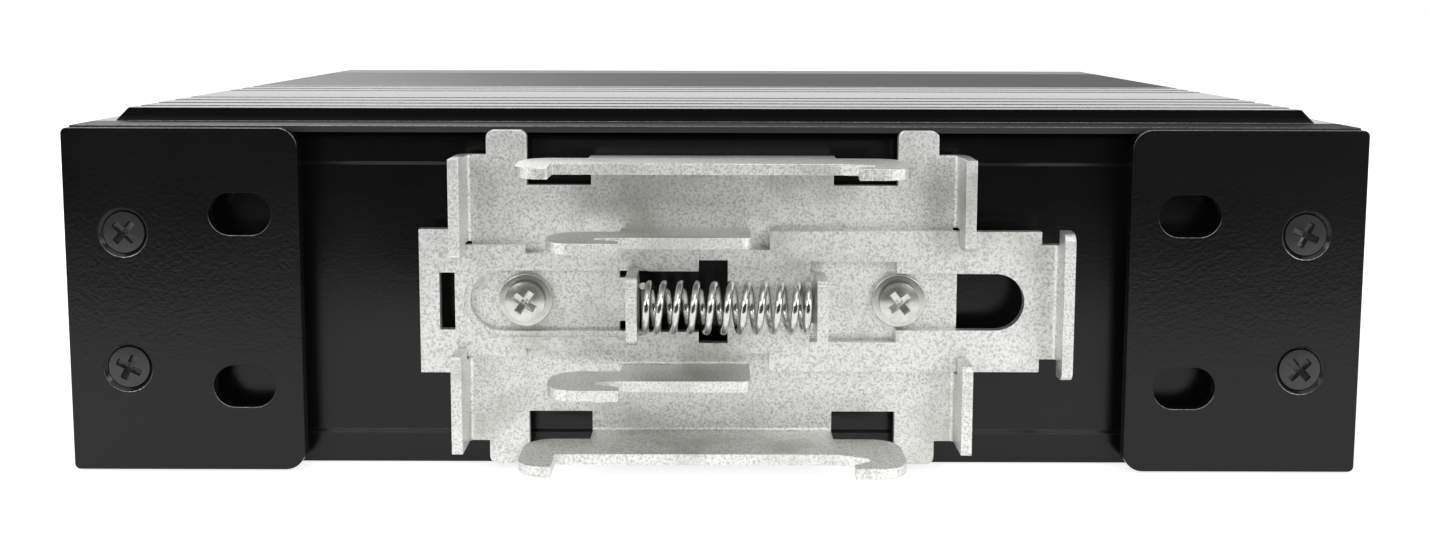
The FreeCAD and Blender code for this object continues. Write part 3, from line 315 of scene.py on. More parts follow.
@dataclass(frozen=True)
class RibbedLid:
    """Black anodised extrusion with smooth ribbed bands, a matt field and a rough strip by the rail side.

    The bands and the strip run along X, and their borders are places along Y.
    """

    name: str = "lid_anodised"
    colour: Colour = (0.004, 0.004, 0.004)
    band_roughness: float = 0.12
    field_roughness: float = 0.46
    strip_roughness: float = 0.62
    strip_end: float = -53.5 * MM
    strip_border: float = 0.2 * MM
    field_start: float = -2.6 * MM
    field_end: float = 46.0 * MM
    far_share: float = 0.6
    border: float = 0.6 * MM
    draw_pitch: float = 0.35 * MM
    draw_depth: float = 0.0012 * MM
    draw_squeeze: tuple[float, float, float] = (0.03, 1, 1)

    def make(self) -> bpy.types.Material:
        """Builds the material.

        Returns:
            A dark gloss whose roughness is the greater of the rough strip's and the field's, with draw
            lines along X as its relief.
        """
        board = MaterialBoard(self.name, self.colour, self.band_roughness)
        along = board.add("ShaderNodeSeparateXYZ", Vector=board.place).outputs["Y"]
        rise = board.ramp(along, self.field_start, self.field_start + self.border)
        fall = board.ramp(along, self.field_end - self.border, self.field_end, 1.0, self.far_share)
        matt = board.ramp(board.combine("MULTIPLY", rise, fall), 0, 1, 0.0, self.field_roughness)
        strip = board.ramp(along, self.strip_end, self.strip_end + self.strip_border,
                           self.strip_roughness, self.band_roughness)
        board.drive("Roughness", board.combine("MAXIMUM", strip, matt))
        drawn = board.combine_vectors("MULTIPLY", board.place, self.draw_squeeze)
        board.relief((board.noise(self.draw_pitch, 2.0, 0.6, drawn), self.draw_depth))
        return board.material


@dataclass(frozen=True)
class ZincPlate:
    """Bright zinc on pressed steel sheet, with stains, dark dots and rougher sheared edges."""

    name: str = "clip_zinc"
    bright: Colour = (0.82, 0.82, 0.81)
    dull: Colour = (0.42, 0.42, 0.385)
    roughness: float = 0.46
    peel: float = 1.1 * MM
    peel_depth: float = 0.022 * MM
    stain_peels: float = 9.0
    stain_range: tuple[float, float] = (0.5, 0.85)
    speckle: float = 0.28 * MM
    speckle_depth: float = 0.035 * MM
    speckle_range: tuple[float, float] = (0.45, 0.66)
    speckle_most: float = 0.85
    dot_colour: Colour = (0.16, 0.15, 0.11)
    dot_pitch: float = 1.9 * MM
    dot_edge: tuple[float, float] = (0.035, 0.06)
    dots_left_out: float = 0.72
    shear_pitch: float = 0.28 * MM
    shear_depth: float = 0.08 * MM
    shear_squeeze: float = 0.93

    def make(self) -> bpy.types.Material:
        """Builds the material.

        Returns:
            A metal whose colour is stained, speckled and dotted, and whose relief is peel and fine grain
            plus shear lines where the piece's cut_edge attribute is set.
        """
        board = MaterialBoard(self.name, self.bright, self.roughness, 1.0)
        speckle = board.noise(self.speckle, 3.0, 0.65)
        board.drive("Base Color", self.tint(board, speckle))
        board.relief((board.noise(self.peel), self.peel_depth), (speckle, self.speckle_depth),
                     (self.shear_lines(board), self.shear_depth))
        return board.material

    def tint(self, board: MaterialBoard, speckle: Socket) -> Socket:
        """Colour under three layers: wide stains, fine speckles and sparse round dots.

        Args:
            board: the material under construction.
            speckle: its fine noise.

        Returns:
            The colour's socket.
        """
        stain = board.noise(self.peel * self.stain_peels, 3.0, 0.6)
        tint = board.blend(board.ramp(stain, *self.stain_range), self.bright, self.dull)
        tint = board.blend(board.ramp(speckle, *self.speckle_range, 0.0, self.speckle_most),
                           self.bright, self.dull, tint)
        dots = board.add("ShaderNodeTexVoronoi", Vector=board.place, Scale=1 / self.dot_pitch, Randomness=1.0)
        draw = board.add("ShaderNodeSeparateColor", Color=dots.outputs["Color"]).outputs[0]
        near = board.ramp(dots.outputs["Distance"], *self.dot_edge, 1.0, 0.0)
        spots = board.combine("MULTIPLY", near, board.combine("GREATER_THAN", draw, self.dots_left_out))
        return board.blend(spots, self.bright, self.dot_colour, tint)

    def shear_lines(self, board: MaterialBoard) -> Socket:
        """Lines across the sheet's thickness, as noise squeezed along it, only on the cut edges.

        Args:
            board: the material under construction.

        Returns:
            The lines' height socket.
        """
        edge = board.add("ShaderNodeAttribute", attribute_name="cut_edge").outputs["Vector"]
        squeeze = board.combine_vectors("MULTIPLY_ADD", edge, (-self.shear_squeeze,) * 3, (1,) * 3)
        drawn = board.combine_vectors("MULTIPLY", board.place, squeeze)
        lines = board.noise(self.shear_pitch, 2.0, 0.6, drawn)
        return board.combine("MULTIPLY", lines, board.combine_vectors("LENGTH", edge))


@dataclass(frozen=True)
class BareMetal:
    """Plated or drawn metal with a light polish."""

    name: str
    colour: Colour = (0.72, 0.72, 0.70)
    roughness: float = 0.22
    grain: float = 0.4 * MM
    depth: float = 0.002 * MM
    patch_grains: float = 3.0
    patch_range: tuple[float, float] = (0.35, 0.7)
    patch_tone: float = 0.8

    def make(self) -> bpy.types.Material:
        """Builds the material.

        Returns:
            A metal with a faint uneven polish.
        """
        board = MaterialBoard(self.name, self.colour, self.roughness, 1.0)
        patch = board.ramp(board.noise(self.grain * self.patch_grains, 3.0), *self.patch_range)
        darker = tuple(self.patch_tone * part for part in self.colour)
        board.drive("Base Color", board.blend(patch, self.colour, darker))
        board.relief((board.noise(self.grain), self.depth))
        return board.material


@dataclass(frozen=True)
class Moulded:
    """Moulded plastic, board mask or sleeve with a fine texture."""

    name: str
    colour: Colour
    roughness: float = 0.45
    grain: float = 0.25 * MM
    depth: float = 0.004 * MM
    clear: float = 0.0

    def make(self) -> bpy.types.Material:
        """Builds the material.

        Returns:
            A plastic with fine relief, see-through by its clear share.
        """
        board = MaterialBoard(self.name, self.colour, self.roughness)
        board.drive("Transmission Weight", self.clear)
        if not self.clear:
            board.relief((board.noise(self.grain), self.depth))
        return board.material


@dataclass
class Finishes:
    """All finishes of the switch, by the record's slot names and those of the pieces made here."""

    made: dict[str, bpy.types.Material] = field(default_factory=dict)

    def __post_init__(self) -> None:
        """Makes each finish once."""
        for finish in (
            PowderCoat("case_paint"),
            RibbedLid(),
            # painted highlight for the rounds of the case parts
            PaintedEdgeHighlight(),
            PowderCoat("ear_paint", roughness=0.22, grain=0.42 * MM, depth=0.034 * MM),
            PowderCoat("black_screw", colour=(0.012, 0.012, 0.013), roughness=0.3, grain=0.3 * MM,
                       depth=0.003 * MM, gloss=0.6),
            ZincPlate(),
            BareMetal("spring_steel", (0.70, 0.70, 0.68), 0.16),
            BareMetal("bright_steel", (0.66, 0.66, 0.62), 0.27),
            BareMetal("socket_shell", (0.70, 0.70, 0.68), 0.28),
            BareMetal("sink_aluminium", (0.55, 0.56, 0.58), 0.4),
            BareMetal("contact_gold", (0.83, 0.62, 0.25), 0.2),
            Moulded("board_green", (0.02, 0.13, 0.05), 0.4),
            Moulded("chip_black", (0.02, 0.02, 0.02), 0.55),
            Moulded("socket_liner", (0.015, 0.015, 0.016), 0.4),
            Moulded("terminal_green", (0.02, 0.22, 0.07), 0.42),
            Moulded("capacitor_sleeve", (0.02, 0.03, 0.07), 0.25),
            Moulded("clear_pipe", (0.86, 0.90, 0.92), 0.15, clear=0.85),
        ):
            self.made[finish.name] = finish.make()

    def __getitem__(self, name: str) -> bpy.types.Material:
        """The finish of that name."""
        return self.made[name]


# ---------- surfaces


def put_in_scene(name: str, data: bpy.types.ID) -> bpy.types.Object:
    """A new object of the scene, at the origin, with that mesh, lamp or camera."""
    holder = bpy.data.objects.new(name, data)
    bpy.context.scene.collection.objects.link(holder)
    return holder


def merged(mesh: bpy.types.Mesh, join_within: float) -> bmesh.types.BMesh:
    """A working copy of a mesh in which points nearer than that distance are one."""
    work = bmesh.new()
    work.from_mesh(mesh)
    bmesh.ops.remove_doubles(work, verts=work.verts, dist=join_within)
    return work


def shade(mesh: bpy.types.Mesh, sharp: float) -> None:
    """Smooth shading that breaks at edges of more than that many degrees."""
    mesh.polygons.foreach_set("use_smooth", np.ones(len(mesh.polygons), bool))
    mesh.set_sharp_from_angle(angle=math.radians(sharp))


def read_values(items: bpy.types.bpy_prop_collection, name: str, width: int = 1) -> np.ndarray:
    """One property of every item, with a row for each item.

    Args:
        items: vertices, corners or faces of a mesh.
        name: the property.
        width: number of values an item has, 1 for a whole number.

    Returns:
        Whole numbers in a plain row, or rows of that many coordinates.
    """
    values = np.empty(len(items) * width, float if width > 1 else int)
    items.foreach_get(name, values)
    return values.reshape(-1, width) if width > 1 else values


@dataclass
class Skin:
    """Grids of points that together make one mesh."""

    points: list[np.ndarray] = field(default_factory=list)
    faces: list[np.ndarray] = field(default_factory=list)
    used: int = 0
    join_within: float = 0.0001 * MM
    smooth_below: float = 38.0

    def add_grid(self, grid: np.ndarray, wrap_rows: bool = False) -> None:
        """Adds a closed surface given as rows of points.

        The faces join point (row, column) to its neighbours at row + 1 and column + 1, and each row's last
        point to its first. Without wrapped rows, the first and last row are joined to their mean points.

        Args:
            grid: points as an array of rows, columns and three coordinates.
            wrap_rows: the last row joins the first.
        """
        rows, columns = grid.shape[:2]
        number = np.arange(rows * columns).reshape(rows, columns) + self.used
        below = np.roll(number, -1, axis=0) if wrap_rows else number[1:]
        base = number if wrap_rows else number[:-1]
        right, far = np.roll(base, -1, axis=1), np.roll(below, -1, axis=1)
        self.faces.append(np.stack([base, right, far, below], axis=-1).reshape(-1, 4))
        self.points.append(grid.reshape(-1, 3))
        self.used += rows * columns
        if not wrap_rows:
            for row in (0, -1):
                ring, middle = number[row], self.used
                self.points.append(grid[row].mean(axis=0)[None])
                self.used += 1
                self.faces.append(np.stack([ring, np.full_like(ring, middle), np.roll(ring, -1)], axis=-1))

    def build(self, name: str, material: bpy.types.Material) -> bpy.types.Object:
        """Makes the mesh and its object, with its faces turned outwards.

        Args:
            name: the object's name.
            material: its finish.

        Returns:
            The new object, at the origin.
        """
        mesh = bpy.data.meshes.new(name)
        faces = [face for group in self.faces for face in group.tolist()]
        mesh.from_pydata(np.concatenate(self.points).tolist(), [], faces)
        work = merged(mesh, self.join_within)
        bmesh.ops.recalc_face_normals(work, faces=work.faces)
        work.to_mesh(mesh)
        work.free()
        shade(mesh, self.smooth_below)
        mesh.materials.append(material)
        return put_in_scene(name, mesh)


def place_on(facing: Facing, centre: Sequence[float], flat: np.ndarray) -> np.ndarray:
    """Turns points given as right, up and outward distances to the model's frame.

    Args:
        facing: where the outward direction looks.
        centre: the point that all zero distances give.
        flat: points as distances to the right, upwards and outwards.

    Returns:
        The same points in the model's frame.
    """
    outward, right, up = (np.array(way, float) for way in facing.value)
    return np.array(centre) + flat[..., :1] * right + flat[..., 1:2] * up + flat[..., 2:] * outward


def solid_box(name: str, low: Sequence[float], high: Sequence[float],
              material: bpy.types.Material) -> bpy.types.Object:
    """A box as a rectangle in X and Z run from its low to its high end along Y.

    Args:
        name: the object's name.
        low: least X, Y and Z.
        high: greatest X, Y and Z.
        material: its finish.

    Returns:
        The new object.
    """
    low, high = np.array(low), np.array(high)
    corners = np.array([[0, 0], [1, 0], [1, 1], [0, 1]])
    grid = np.empty((2, 4, 3))
    grid[..., 0] = low[0] + corners[:, 0] * (high[0] - low[0])
    grid[..., 2] = low[2] + corners[:, 1] * (high[2] - low[2])
    grid[0, :, 1], grid[1, :, 1] = low[1], high[1]
    skin = Skin()
    skin.add_grid(grid)
    return skin.build(name, material)


@dataclass
class Workshop:
    """What every sub-assembly needs: the finishes, and how pieces are hung on the model."""

    finishes: Finishes
    join_within: float = 0.002 * MM
    flat_within: float = 0.5
    sharp: float = 28.0
    round_segments: int = 2
    face_weight: int = 100

    def hang(self, piece: bpy.types.Object, body: Body, slot: str, *nodes: str) -> bpy.types.Object:
        """Rides a piece on a body and lets it stand for nodes.

        Args:
            piece: the new object.
            body: the rigid body that carries it.
            slot: the record's material slot; not used.
            nodes: solids that it replaces.

        Returns:
            The piece.
        """
        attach(piece, body.value)
        if nodes:
            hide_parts(*nodes)
        LOG.info("%s: %d faces on %s%s", piece.name, len(piece.data.polygons), body.value,
                 f", in place of {', '.join(nodes)}" if nodes else "")
        return piece

    def paint(self, node: str, finish: str) -> None:
        """Gives a solid of the model its finish.

        Args:
            node: the solid's name.
            finish: the finish's name.
        """
        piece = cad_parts[node]
        piece.data.materials.clear()
        piece.data.materials.append(self.finishes[finish])
        LOG.info("%s: painted %s", node, finish)

    def soften(self, node: str, finish: str, width: float, body: Body = Body.SWITCH,
               edge: str | None = None) -> bpy.types.Object:
        """A merged copy of a solid whose sharp edges get a narrow round and whose flats stay flat.

        Args:
            node: the solid's name.
            finish: name of its finish.
            width: width of the round.
            body: the body that carries it.
            edge: finish of the rounds, the piece's own if none is given.

        Returns:
            The finished copy, which stands for the solid.
        """
        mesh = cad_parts[node].data.copy()
        piece = put_in_scene(f"{node}_finished", mesh)
        work = merged(mesh, self.join_within)
        bmesh.ops.dissolve_limit(work, angle_limit=math.radians(self.flat_within), verts=work.verts,
                                 edges=work.edges)
        work.to_mesh(mesh)
        work.free()
        mesh.materials.clear()
        mesh.materials.append(self.finishes[finish])
        shade(mesh, self.sharp)
        bevel = piece.modifiers.new("edge_round", "BEVEL")
        bevel.width = width
        bevel.segments = self.round_segments
        bevel.limit_method = "ANGLE"
        bevel.angle_limit = math.radians(self.sharp)
        if edge:
            mesh.materials.append(self.finishes[edge])
            bevel.material = len(mesh.materials) - 1
        flat = piece.modifiers.new("flat_faces", "WEIGHTED_NORMAL")
        flat.weight = self.face_weight
        flat.keep_sharp = True
        return self.hang(piece, body, finish, node)


# ---------- screws


@dataclass
class ScrewHead:
    """Round screw head as a surface over a disc, with a driver recess pressed in.

    The height over radius r is the crown, falling as the square of r from the middle to the rim, less the
    recess. A cross recess is the union of two bars, each deepest in the middle and shallower towards its
    ends, and a slot is one bar of even depth. The bars' walls slope over a narrow band.
    """

    radius: float
    crown: float
    side: float
    wing_length: float
    wing_half: float
    recess_depth: float
    wall: float = 0.07 * MM
    end_rise: float = 0.62
    recess: Recess = Recess.CROSS
    rings: int = 44
    spokes: int = 144

    def recess_share(self, along: np.ndarray, across: np.ndarray) -> np.ndarray:
        """Share of the full depth inside one bar of the recess.

        Args:
            along: distances along the bar.
            across: distances across it.

        Returns:
            1 at the bottom of the bar's middle and 0 outside the bar.
        """
        inside = np.minimum(self.wing_length - np.abs(along), self.wing_half - np.abs(across))
        wall = np.clip(inside / self.wall, 0, 1)
        if self.recess is Recess.SLOT:
            return wall
        return wall * (1 - self.end_rise * np.clip(np.abs(along) / self.wing_length, 0, 1))

    def add_to(self, skin: Skin, facing: Facing, centre: Sequence[float], turn: float) -> None:
        """Adds the head to a mesh.

        Args:
            skin: the mesh under construction.
            facing: where the head looks.
            centre: middle of the head's rim.
            turn: turn of the recess in degrees, anticlockwise as seen from outside.
        """
        share = np.linspace(0, 1, self.rings + 1)[1:]
        radius = self.radius * share
        angle = np.linspace(0, math.tau, self.spokes, endpoint=False)
        ring, spoke = np.meshgrid(radius, angle, indexing="ij")
        right, up = ring * np.cos(spoke), ring * np.sin(spoke)
        tilt = math.radians(turn)
        along = right * math.cos(tilt) + up * math.sin(tilt)
        across = up * math.cos(tilt) - right * math.sin(tilt)
        depth = self.recess_share(along, across)
        if self.recess is Recess.CROSS:
            depth = np.maximum(depth, self.recess_share(across, along))
        height = self.crown * (1 - (ring / self.radius) ** 2) - self.recess_depth * depth
        top = np.stack([right, up, height], axis=-1)
        skirt = top[-1:].copy()
        skirt[..., 2] = -self.side
        skin.add_grid(place_on(facing, centre, np.concatenate([top, skirt])))


@dataclass
class FlangedHead:
    """Washer that is one piece with its screw, as a ring turned about the screw's line.

    Its profile goes from the head's foot out over a flat, round the rim and back under.
    """

    inner: float
    outer: float
    thickness: float
    rim: float = 0.16 * MM
    hole_share: float = 0.6
    rim_points: int = 5
    spokes: int = 96

    def add_to(self, skin: Skin, facing: Facing, centre: Sequence[float]) -> None:
        """Adds the washer to a mesh, its lower face at the centre.

        Args:
            skin: the mesh under construction.
            facing: where the screw looks.
            centre: middle of the washer's lower face.
        """
        hole = self.inner * self.hole_share
        bend = np.linspace(0, math.pi / 2, self.rim_points)
        bend_radius = self.outer - self.rim + self.rim * np.sin(bend)
        bend_height = self.thickness - self.rim + self.rim * np.cos(bend)
        radius = np.concatenate([[hole, self.inner], bend_radius, [self.outer, hole]])
        height = np.concatenate([[self.thickness] * 2, bend_height, [0.0, 0.0]])
        angle = np.linspace(0, math.tau, self.spokes, endpoint=False)
        flat = np.stack([radius[:, None] * np.cos(angle), radius[:, None] * np.sin(angle),
                         np.broadcast_to(height[:, None], (len(radius), self.spokes))], axis=-1)
        skin.add_grid(place_on(facing, centre, flat), wrap_rows=True)


@dataclass
class CaseScrews:
    """Countersunk screws of the ears, the lid and the front plate."""

    shop: Workshop
    head: ScrewHead = field(default_factory=lambda: ScrewHead(
        radius=2.5 * MM, crown=0.12 * MM, side=0.8 * MM,
        wing_length=1.62 * MM, wing_half=0.42 * MM, recess_depth=0.95 * MM))
    sunk: float = 0.2 * MM
    ear_turns: tuple[float, ...] = (62.5, 48.0, 44.0, 65.0)

    def build(self) -> None:
        """Builds a head in each countersink."""
        for node, facing, turns in (
            ("ear_screws", Facing.RAIL, self.ear_turns),
            ("front_screws", Facing.PORTS, (20.0, 71.0)),
            ("cover_screws_left", Facing.LEFT, (33.0, 8.0)),
            ("cover_screws_right", Facing.RIGHT, (57.0, 26.0)),
        ):
            skin = Skin()
            for centre, turn in zip(self.centres(node, facing), turns):
                self.head.add_to(skin, facing, centre, turn)
            piece = skin.build(f"{node}_heads", self.shop.finishes["black_screw"])
            self.shop.hang(piece, Body.SWITCH, "black_screw", node)

    def centres(self, node: str, facing: Facing) -> list[np.ndarray]:
        """Middles of the separate screws of a node, at the height of their rims.

        Args:
            node: the node's name.
            facing: where its screws look.

        Returns:
            One point a screw, ordered from left to right, then from below upwards.
        """
        outward = np.array(facing.value[0], float)
        middles = []
        for points in loose_parts(node):
            middle = (points.min(axis=0) + points.max(axis=0)) / 2
            face = (points @ outward).max() - self.sunk - self.head.crown
            middles.append(middle + outward * (face - middle @ outward))
        return sorted(middles, key=lambda point: (round(point[0], 3), round(point[1], 3), point[2]))


def loose_parts(node: str, join_within: float = 0.001 * MM) -> list[np.ndarray]:
    """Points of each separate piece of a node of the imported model.

    Args:
        node: the node's name.
        join_within: distance under which two points are one.

    Returns:
        One array of points a piece, from left to right.
    """
    work = merged(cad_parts[node].data, join_within)
    parts, seen = [], set()
    for start in work.verts:
        if start in seen:
            continue
        seen.add(start)
        queue, part = [start], []
        while queue:
            point = queue.pop()
            part.append(point.co.copy())
            for edge in point.link_edges:
                other = edge.other_vert(point)
                if other not in seen:
                    seen.add(other)
                    queue.append(other)
        parts.append(np.array([tuple(place) for place in part]))
    work.free()
    return sorted(parts, key=lambda part: part[:, 0].mean())


# ---------- case


@dataclass
class CaseShell:
    """Case tray, ribbed lid, front plate and mounting ears."""

    shop: Workshop
    case_round: float = 0.45 * MM
    lid_round: float = 0.22 * MM
    ear_round: float = 0.28 * MM

    def build(self) -> None:
        """Softens the edges of each coated part and gives their rounds the painted edge highlight."""
        self.shop.soften("chassis", "case_paint", self.case_round, edge="painted_edge_highlight")
        self.shop.soften("top_cover", "lid_anodised", self.lid_round, edge="painted_edge_highlight")
        self.shop.soften("front_panel", "case_paint", self.lid_round, edge="painted_edge_highlight")
        for node in ("ear_left", "ear_right"):
            self.shop.soften(node, "ear_paint", self.ear_round, edge="painted_edge_highlight")


# ---------- rail clip


@dataclass
class RailClip:
    """Fixed plate, slider, spring and screws of the rail clip."""

    shop: Workshop
    sheet: float = 1.3 * MM
    edge_round: float = 0.12 * MM
    travel: float = 8.0 * MM
    spring_start: float = -9.04 * MM
    spring_end: float = 11.95 * MM
    wire: float = 0.9 * MM
    spring_outer: float = 6.5 * MM
    pitch: float = 1.98 * MM
    closed_turns: float = 1.1
    closed_pitch: float = 1.03
    opening_turns: float = 0.5
    first_turn: float = 0.35
    turn_points: int = 56
    wire_points: int = 16
    sheet_within: float = 0.04 * MM
    square_within: float = 0.05
    washer_foot: float = 2.3 * MM

    def build(self) -> None:
        """Builds the four kinds of pieces."""
        for node, body in (("clip_base", Body.SWITCH), ("clip_slider", Body.SLIDER)):
            plate = self.shop.soften(node, "clip_zinc", self.edge_round, body)
            self.mark_cut_edges(plate)
        self.build_spring()
        self.build_screws()
        self.shop.paint("clip_spacers", "bright_steel")
        self.shop.paint("clip_nuts", "bright_steel")

    def mark_cut_edges(self, plate: bpy.types.Object) -> None:
        """Stores on each face that spans just the sheet's thickness the direction of that thickness.

        A face counts where its extent along an axis is the sheet's thickness and its normal is square to
        that axis.

        Args:
            plate: the merged copy of a sheet-metal solid.
        """
        mesh = plate.data
        corners = read_values(mesh.vertices, "co", 3)[read_values(mesh.loops, "vertex_index")]
        starts = read_values(mesh.polygons, "loop_start")
        normals = read_values(mesh.polygons, "normal", 3)
        span = np.maximum.reduceat(corners, starts) - np.minimum.reduceat(corners, starts)
        cut = (np.abs(span - self.sheet) < self.sheet_within) & (np.abs(normals) < self.square_within)
        colours = np.zeros((len(starts), 4))
        colours[:, :3] = cut
        colours[cut.sum(axis=1) > 1, :3] = 0
        colours[:, 3] = 1
        layer = mesh.attributes.new("cut_edge", "FLOAT_COLOR", "FACE")
        layer.data.foreach_set("color", colours.ravel())

    def build_spring(self) -> None:
        """Wire swept round a helix that closes up at both ends.

        The place along X is the sum of the pitch over the turns, where the pitch is the wire's thickness in
        the closed turns and the open pitch between them. The wire's ring of points stands square to the
        path, on its radial direction and the direction square to both.
        """
        box_low, box_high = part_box("clip_spring")
        centre = (Vector(box_low) + Vector(box_high)) / 2
        free = self.spring_end - self.spring_start - self.wire
        closed = self.wire * self.closed_pitch
        turns = 2 * self.closed_turns + (free - 2 * self.closed_turns * closed) / self.pitch
        turn = np.linspace(0, turns, int(turns * self.turn_points))
        ramp = self.opening_turns
        opening = np.clip((turn - self.closed_turns + ramp / 2) / ramp, 0, 1)
        closing = np.clip((turns - self.closed_turns + ramp / 2 - turn) / ramp, 0, 1)
        pitch = closed + (self.pitch - closed) * np.minimum(opening, closing)
        along = np.concatenate([[0], np.cumsum((pitch[1:] + pitch[:-1]) / 2 * np.diff(turn))])
        along *= free / along[-1]
        angle = math.tau * (turn + self.first_turn)
        coil = (self.spring_outer - self.wire) / 2
        path = np.stack([self.spring_start + self.wire / 2 + along, centre.y - coil * np.cos(angle),
                         centre.z + coil * np.sin(angle)], axis=-1)
        tangent = np.gradient(path, axis=0)
        tangent /= np.linalg.norm(tangent, axis=1, keepdims=True)
        outward = np.stack([np.zeros_like(angle), -np.cos(angle), np.sin(angle)], axis=-1)
        side = np.cross(tangent, outward)
        ring = np.linspace(0, math.tau, self.wire_points, endpoint=False)
        grid = path[:, None] + self.wire / 2 * (np.cos(ring)[None, :, None] * outward[:, None]
                                               + np.sin(ring)[None, :, None] * side[:, None])
        skin = Skin()
        skin.add_grid(grid)
        piece = skin.build("clip_spring_wire", self.shop.finishes["spring_steel"])
        self.shop.hang(piece, Body.SWITCH, "spring_steel", "clip_spring")
        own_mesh(piece)

    def build_screws(self) -> None:
        """Two washer-head screws on the fixed plate."""
        skin = Skin()
        dome = ScrewHead(radius=2.4 * MM, crown=0.42 * MM, side=0.85 * MM,
                         wing_length=1.5 * MM, wing_half=0.44 * MM, recess_depth=0.95 * MM)
        washer = FlangedHead(inner=2.35 * MM, outer=3.25 * MM, thickness=0.8 * MM)
        for points, turn in zip(loose_parts("clip_screws"), (55.0, 38.0)):
            low, high = points.min(axis=0), points.max(axis=0)
            middle_x, middle_z = (low[0] + high[0]) / 2, (low[2] + high[2]) / 2
            washer.add_to(skin, Facing.RAIL, (middle_x, low[1] + self.washer_foot, middle_z))
            dome.add_to(skin, Facing.RAIL, (middle_x, low[1] + dome.crown, middle_z), turn)
        piece = skin.build("clip_screw_heads", self.shop.finishes["bright_steel"])
        self.shop.hang(piece, Body.SWITCH, "bright_steel", "clip_screws")


# ---------- ports


@dataclass
class PortRow:
    """Two blocks of shielded modular sockets with their contact wires, and the light pipes over them."""

    shop: Workshop
    contacts: int = 8
    contact_pitch: float = 1.02 * MM
    contact_width: float = 0.45 * MM
    contact_sheet: float = 0.25 * MM
    contact_points: int = 12
    contact_gap: float = 0.35 * MM
    contact_rise: float = 3.3 * MM
    rise_share: float = 0.8
    floor: float = 11.8 * MM
    mouth: float = 60.6 * MM
    first_back: float = 2.2 * MM
    last_back: float = 11.8 * MM
    block_round: float = 0.15 * MM
    pipe_round: float = 0.1 * MM
    liner_edge: float = 0.3 * MM
    centres: tuple[float, ...] = (-65.0, -50.0, -35.0, -20.0, -3.8, 11.2, 26.2, 41.2)

    def build(self) -> None:
        """Finishes both blocks, their contacts and the light pipes."""
        for node in ("jack_block_left", "jack_block_right"):
            block = self.shop.soften(node, "socket_shell", self.block_round)
            self.line_sockets(block)
        self.build_contacts()
        self.shop.soften("light_pipes", "clear_pipe", self.pipe_round)

    def line_sockets(self, block: bpy.types.Object) -> None:
        """Gives the faces inside the sockets the dark liner.

        Args:
            block: the finished copy of a jack block.
        """
        mesh = block.data
        mesh.materials.append(self.shop.finishes["socket_liner"])
        points = read_values(mesh.polygons, "center", 3)
        low, high = points.min(axis=0), points.max(axis=0)
        inside = ((points > low + self.liner_edge) & (points < high - self.liner_edge)).all(axis=1)
        mesh.polygons.foreach_set("material_index", inside.astype(int))

    def build_contacts(self) -> None:
        """Contact wires of every socket.

        Each wire is a flat strip whose line rises from the socket's floor near the mouth towards the back
        as a quarter of a sine wave, then runs on level.
        """
        share = np.linspace(0, 1, self.contact_points)
        back = self.mouth - self.first_back - share * (self.last_back - self.first_back)
        bend = math.pi / 2 * np.clip(share / self.rise_share, 0, 1)
        rise = self.floor + self.contact_gap + self.contact_rise * np.sin(bend)
        half, thick = self.contact_width / 2, self.contact_sheet
        profile = np.array([[-half, 0], [half, 0], [half, thick], [-half, thick]])
        skin = Skin()
        for centre in self.centres:
            for number in range(self.contacts):
                across = centre * MM + (number - (self.contacts - 1) / 2) * self.contact_pitch
                grid = np.empty((len(share), 4, 3))
                grid[..., 0] = across + profile[None, :, 0]
                grid[..., 1] = back[:, None]
                grid[..., 2] = rise[:, None] + profile[None, :, 1]
                skin.add_grid(grid)
        piece = skin.build("port_contacts", self.shop.finishes["contact_gold"])
        self.shop.hang(piece, Body.SWITCH, "socket_shell")


# ---------- power and earth


@dataclass
class PowerConnector:
    """Socket and screw-terminal plug of the power supply, and the earth screw."""

    shop: Workshop
    edge_round: float = 0.2 * MM
    washer_round: float = 0.1 * MM

    def build(self) -> None:
        """Finishes the plastic parts and the washer, and builds the screw heads."""
        self.shop.soften("terminal_socket", "terminal_green", self.edge_round)
        self.shop.soften("terminal_plug", "terminal_green", self.edge_round)
        self.build_clamp_screws()
        self.build_earth_screw()
        self.shop.soften("earth_washer", "bright_steel", self.washer_round)

    def build_clamp_screws(self) -> None:
        """Slotted screws in the plug's wells."""
        head = ScrewHead(radius=1.1 * MM, crown=0.05 * MM, side=0.6 * MM,
                         wing_length=1.2 * MM, wing_half=0.2 * MM, recess_depth=0.4 * MM,
                         recess=Recess.SLOT, rings=20, spokes=72)
        skin = Skin()
        for points, turn in zip(loose_parts("terminal_screws"), (12.0, 80.0, 48.0, 130.0)):
            middle = (points.min(axis=0) + points.max(axis=0)) / 2
            top = points[:, 2].max() - head.crown
            head.add_to(skin, Facing.UP, (middle[0], middle[1], top), turn)
        piece = skin.build("terminal_screw_heads", self.shop.finishes["bright_steel"])
        self.shop.hang(piece, Body.SWITCH, "bright_steel", "terminal_screws")

    def build_earth_screw(self) -> None:
        """Pan head over the earth washer."""
        low, high = (np.array(corner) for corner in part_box("earth_screw"))
        head = ScrewHead(radius=3.5 * MM, crown=0.9 * MM, side=1.5 * MM,
                         wing_length=1.9 * MM, wing_half=0.5 * MM, recess_depth=1.2 * MM)
        centre = ((low[0] + high[0]) / 2, high[1] - head.crown, (low[2] + high[2]) / 2)
        skin = Skin()
        head.add_to(skin, Facing.PORTS, centre, 28.0)
        piece = skin.build("earth_screw_head", self.shop.finishes["bright_steel"])
        self.shop.hang(piece, Body.SWITCH, "bright_steel", "earth_screw")


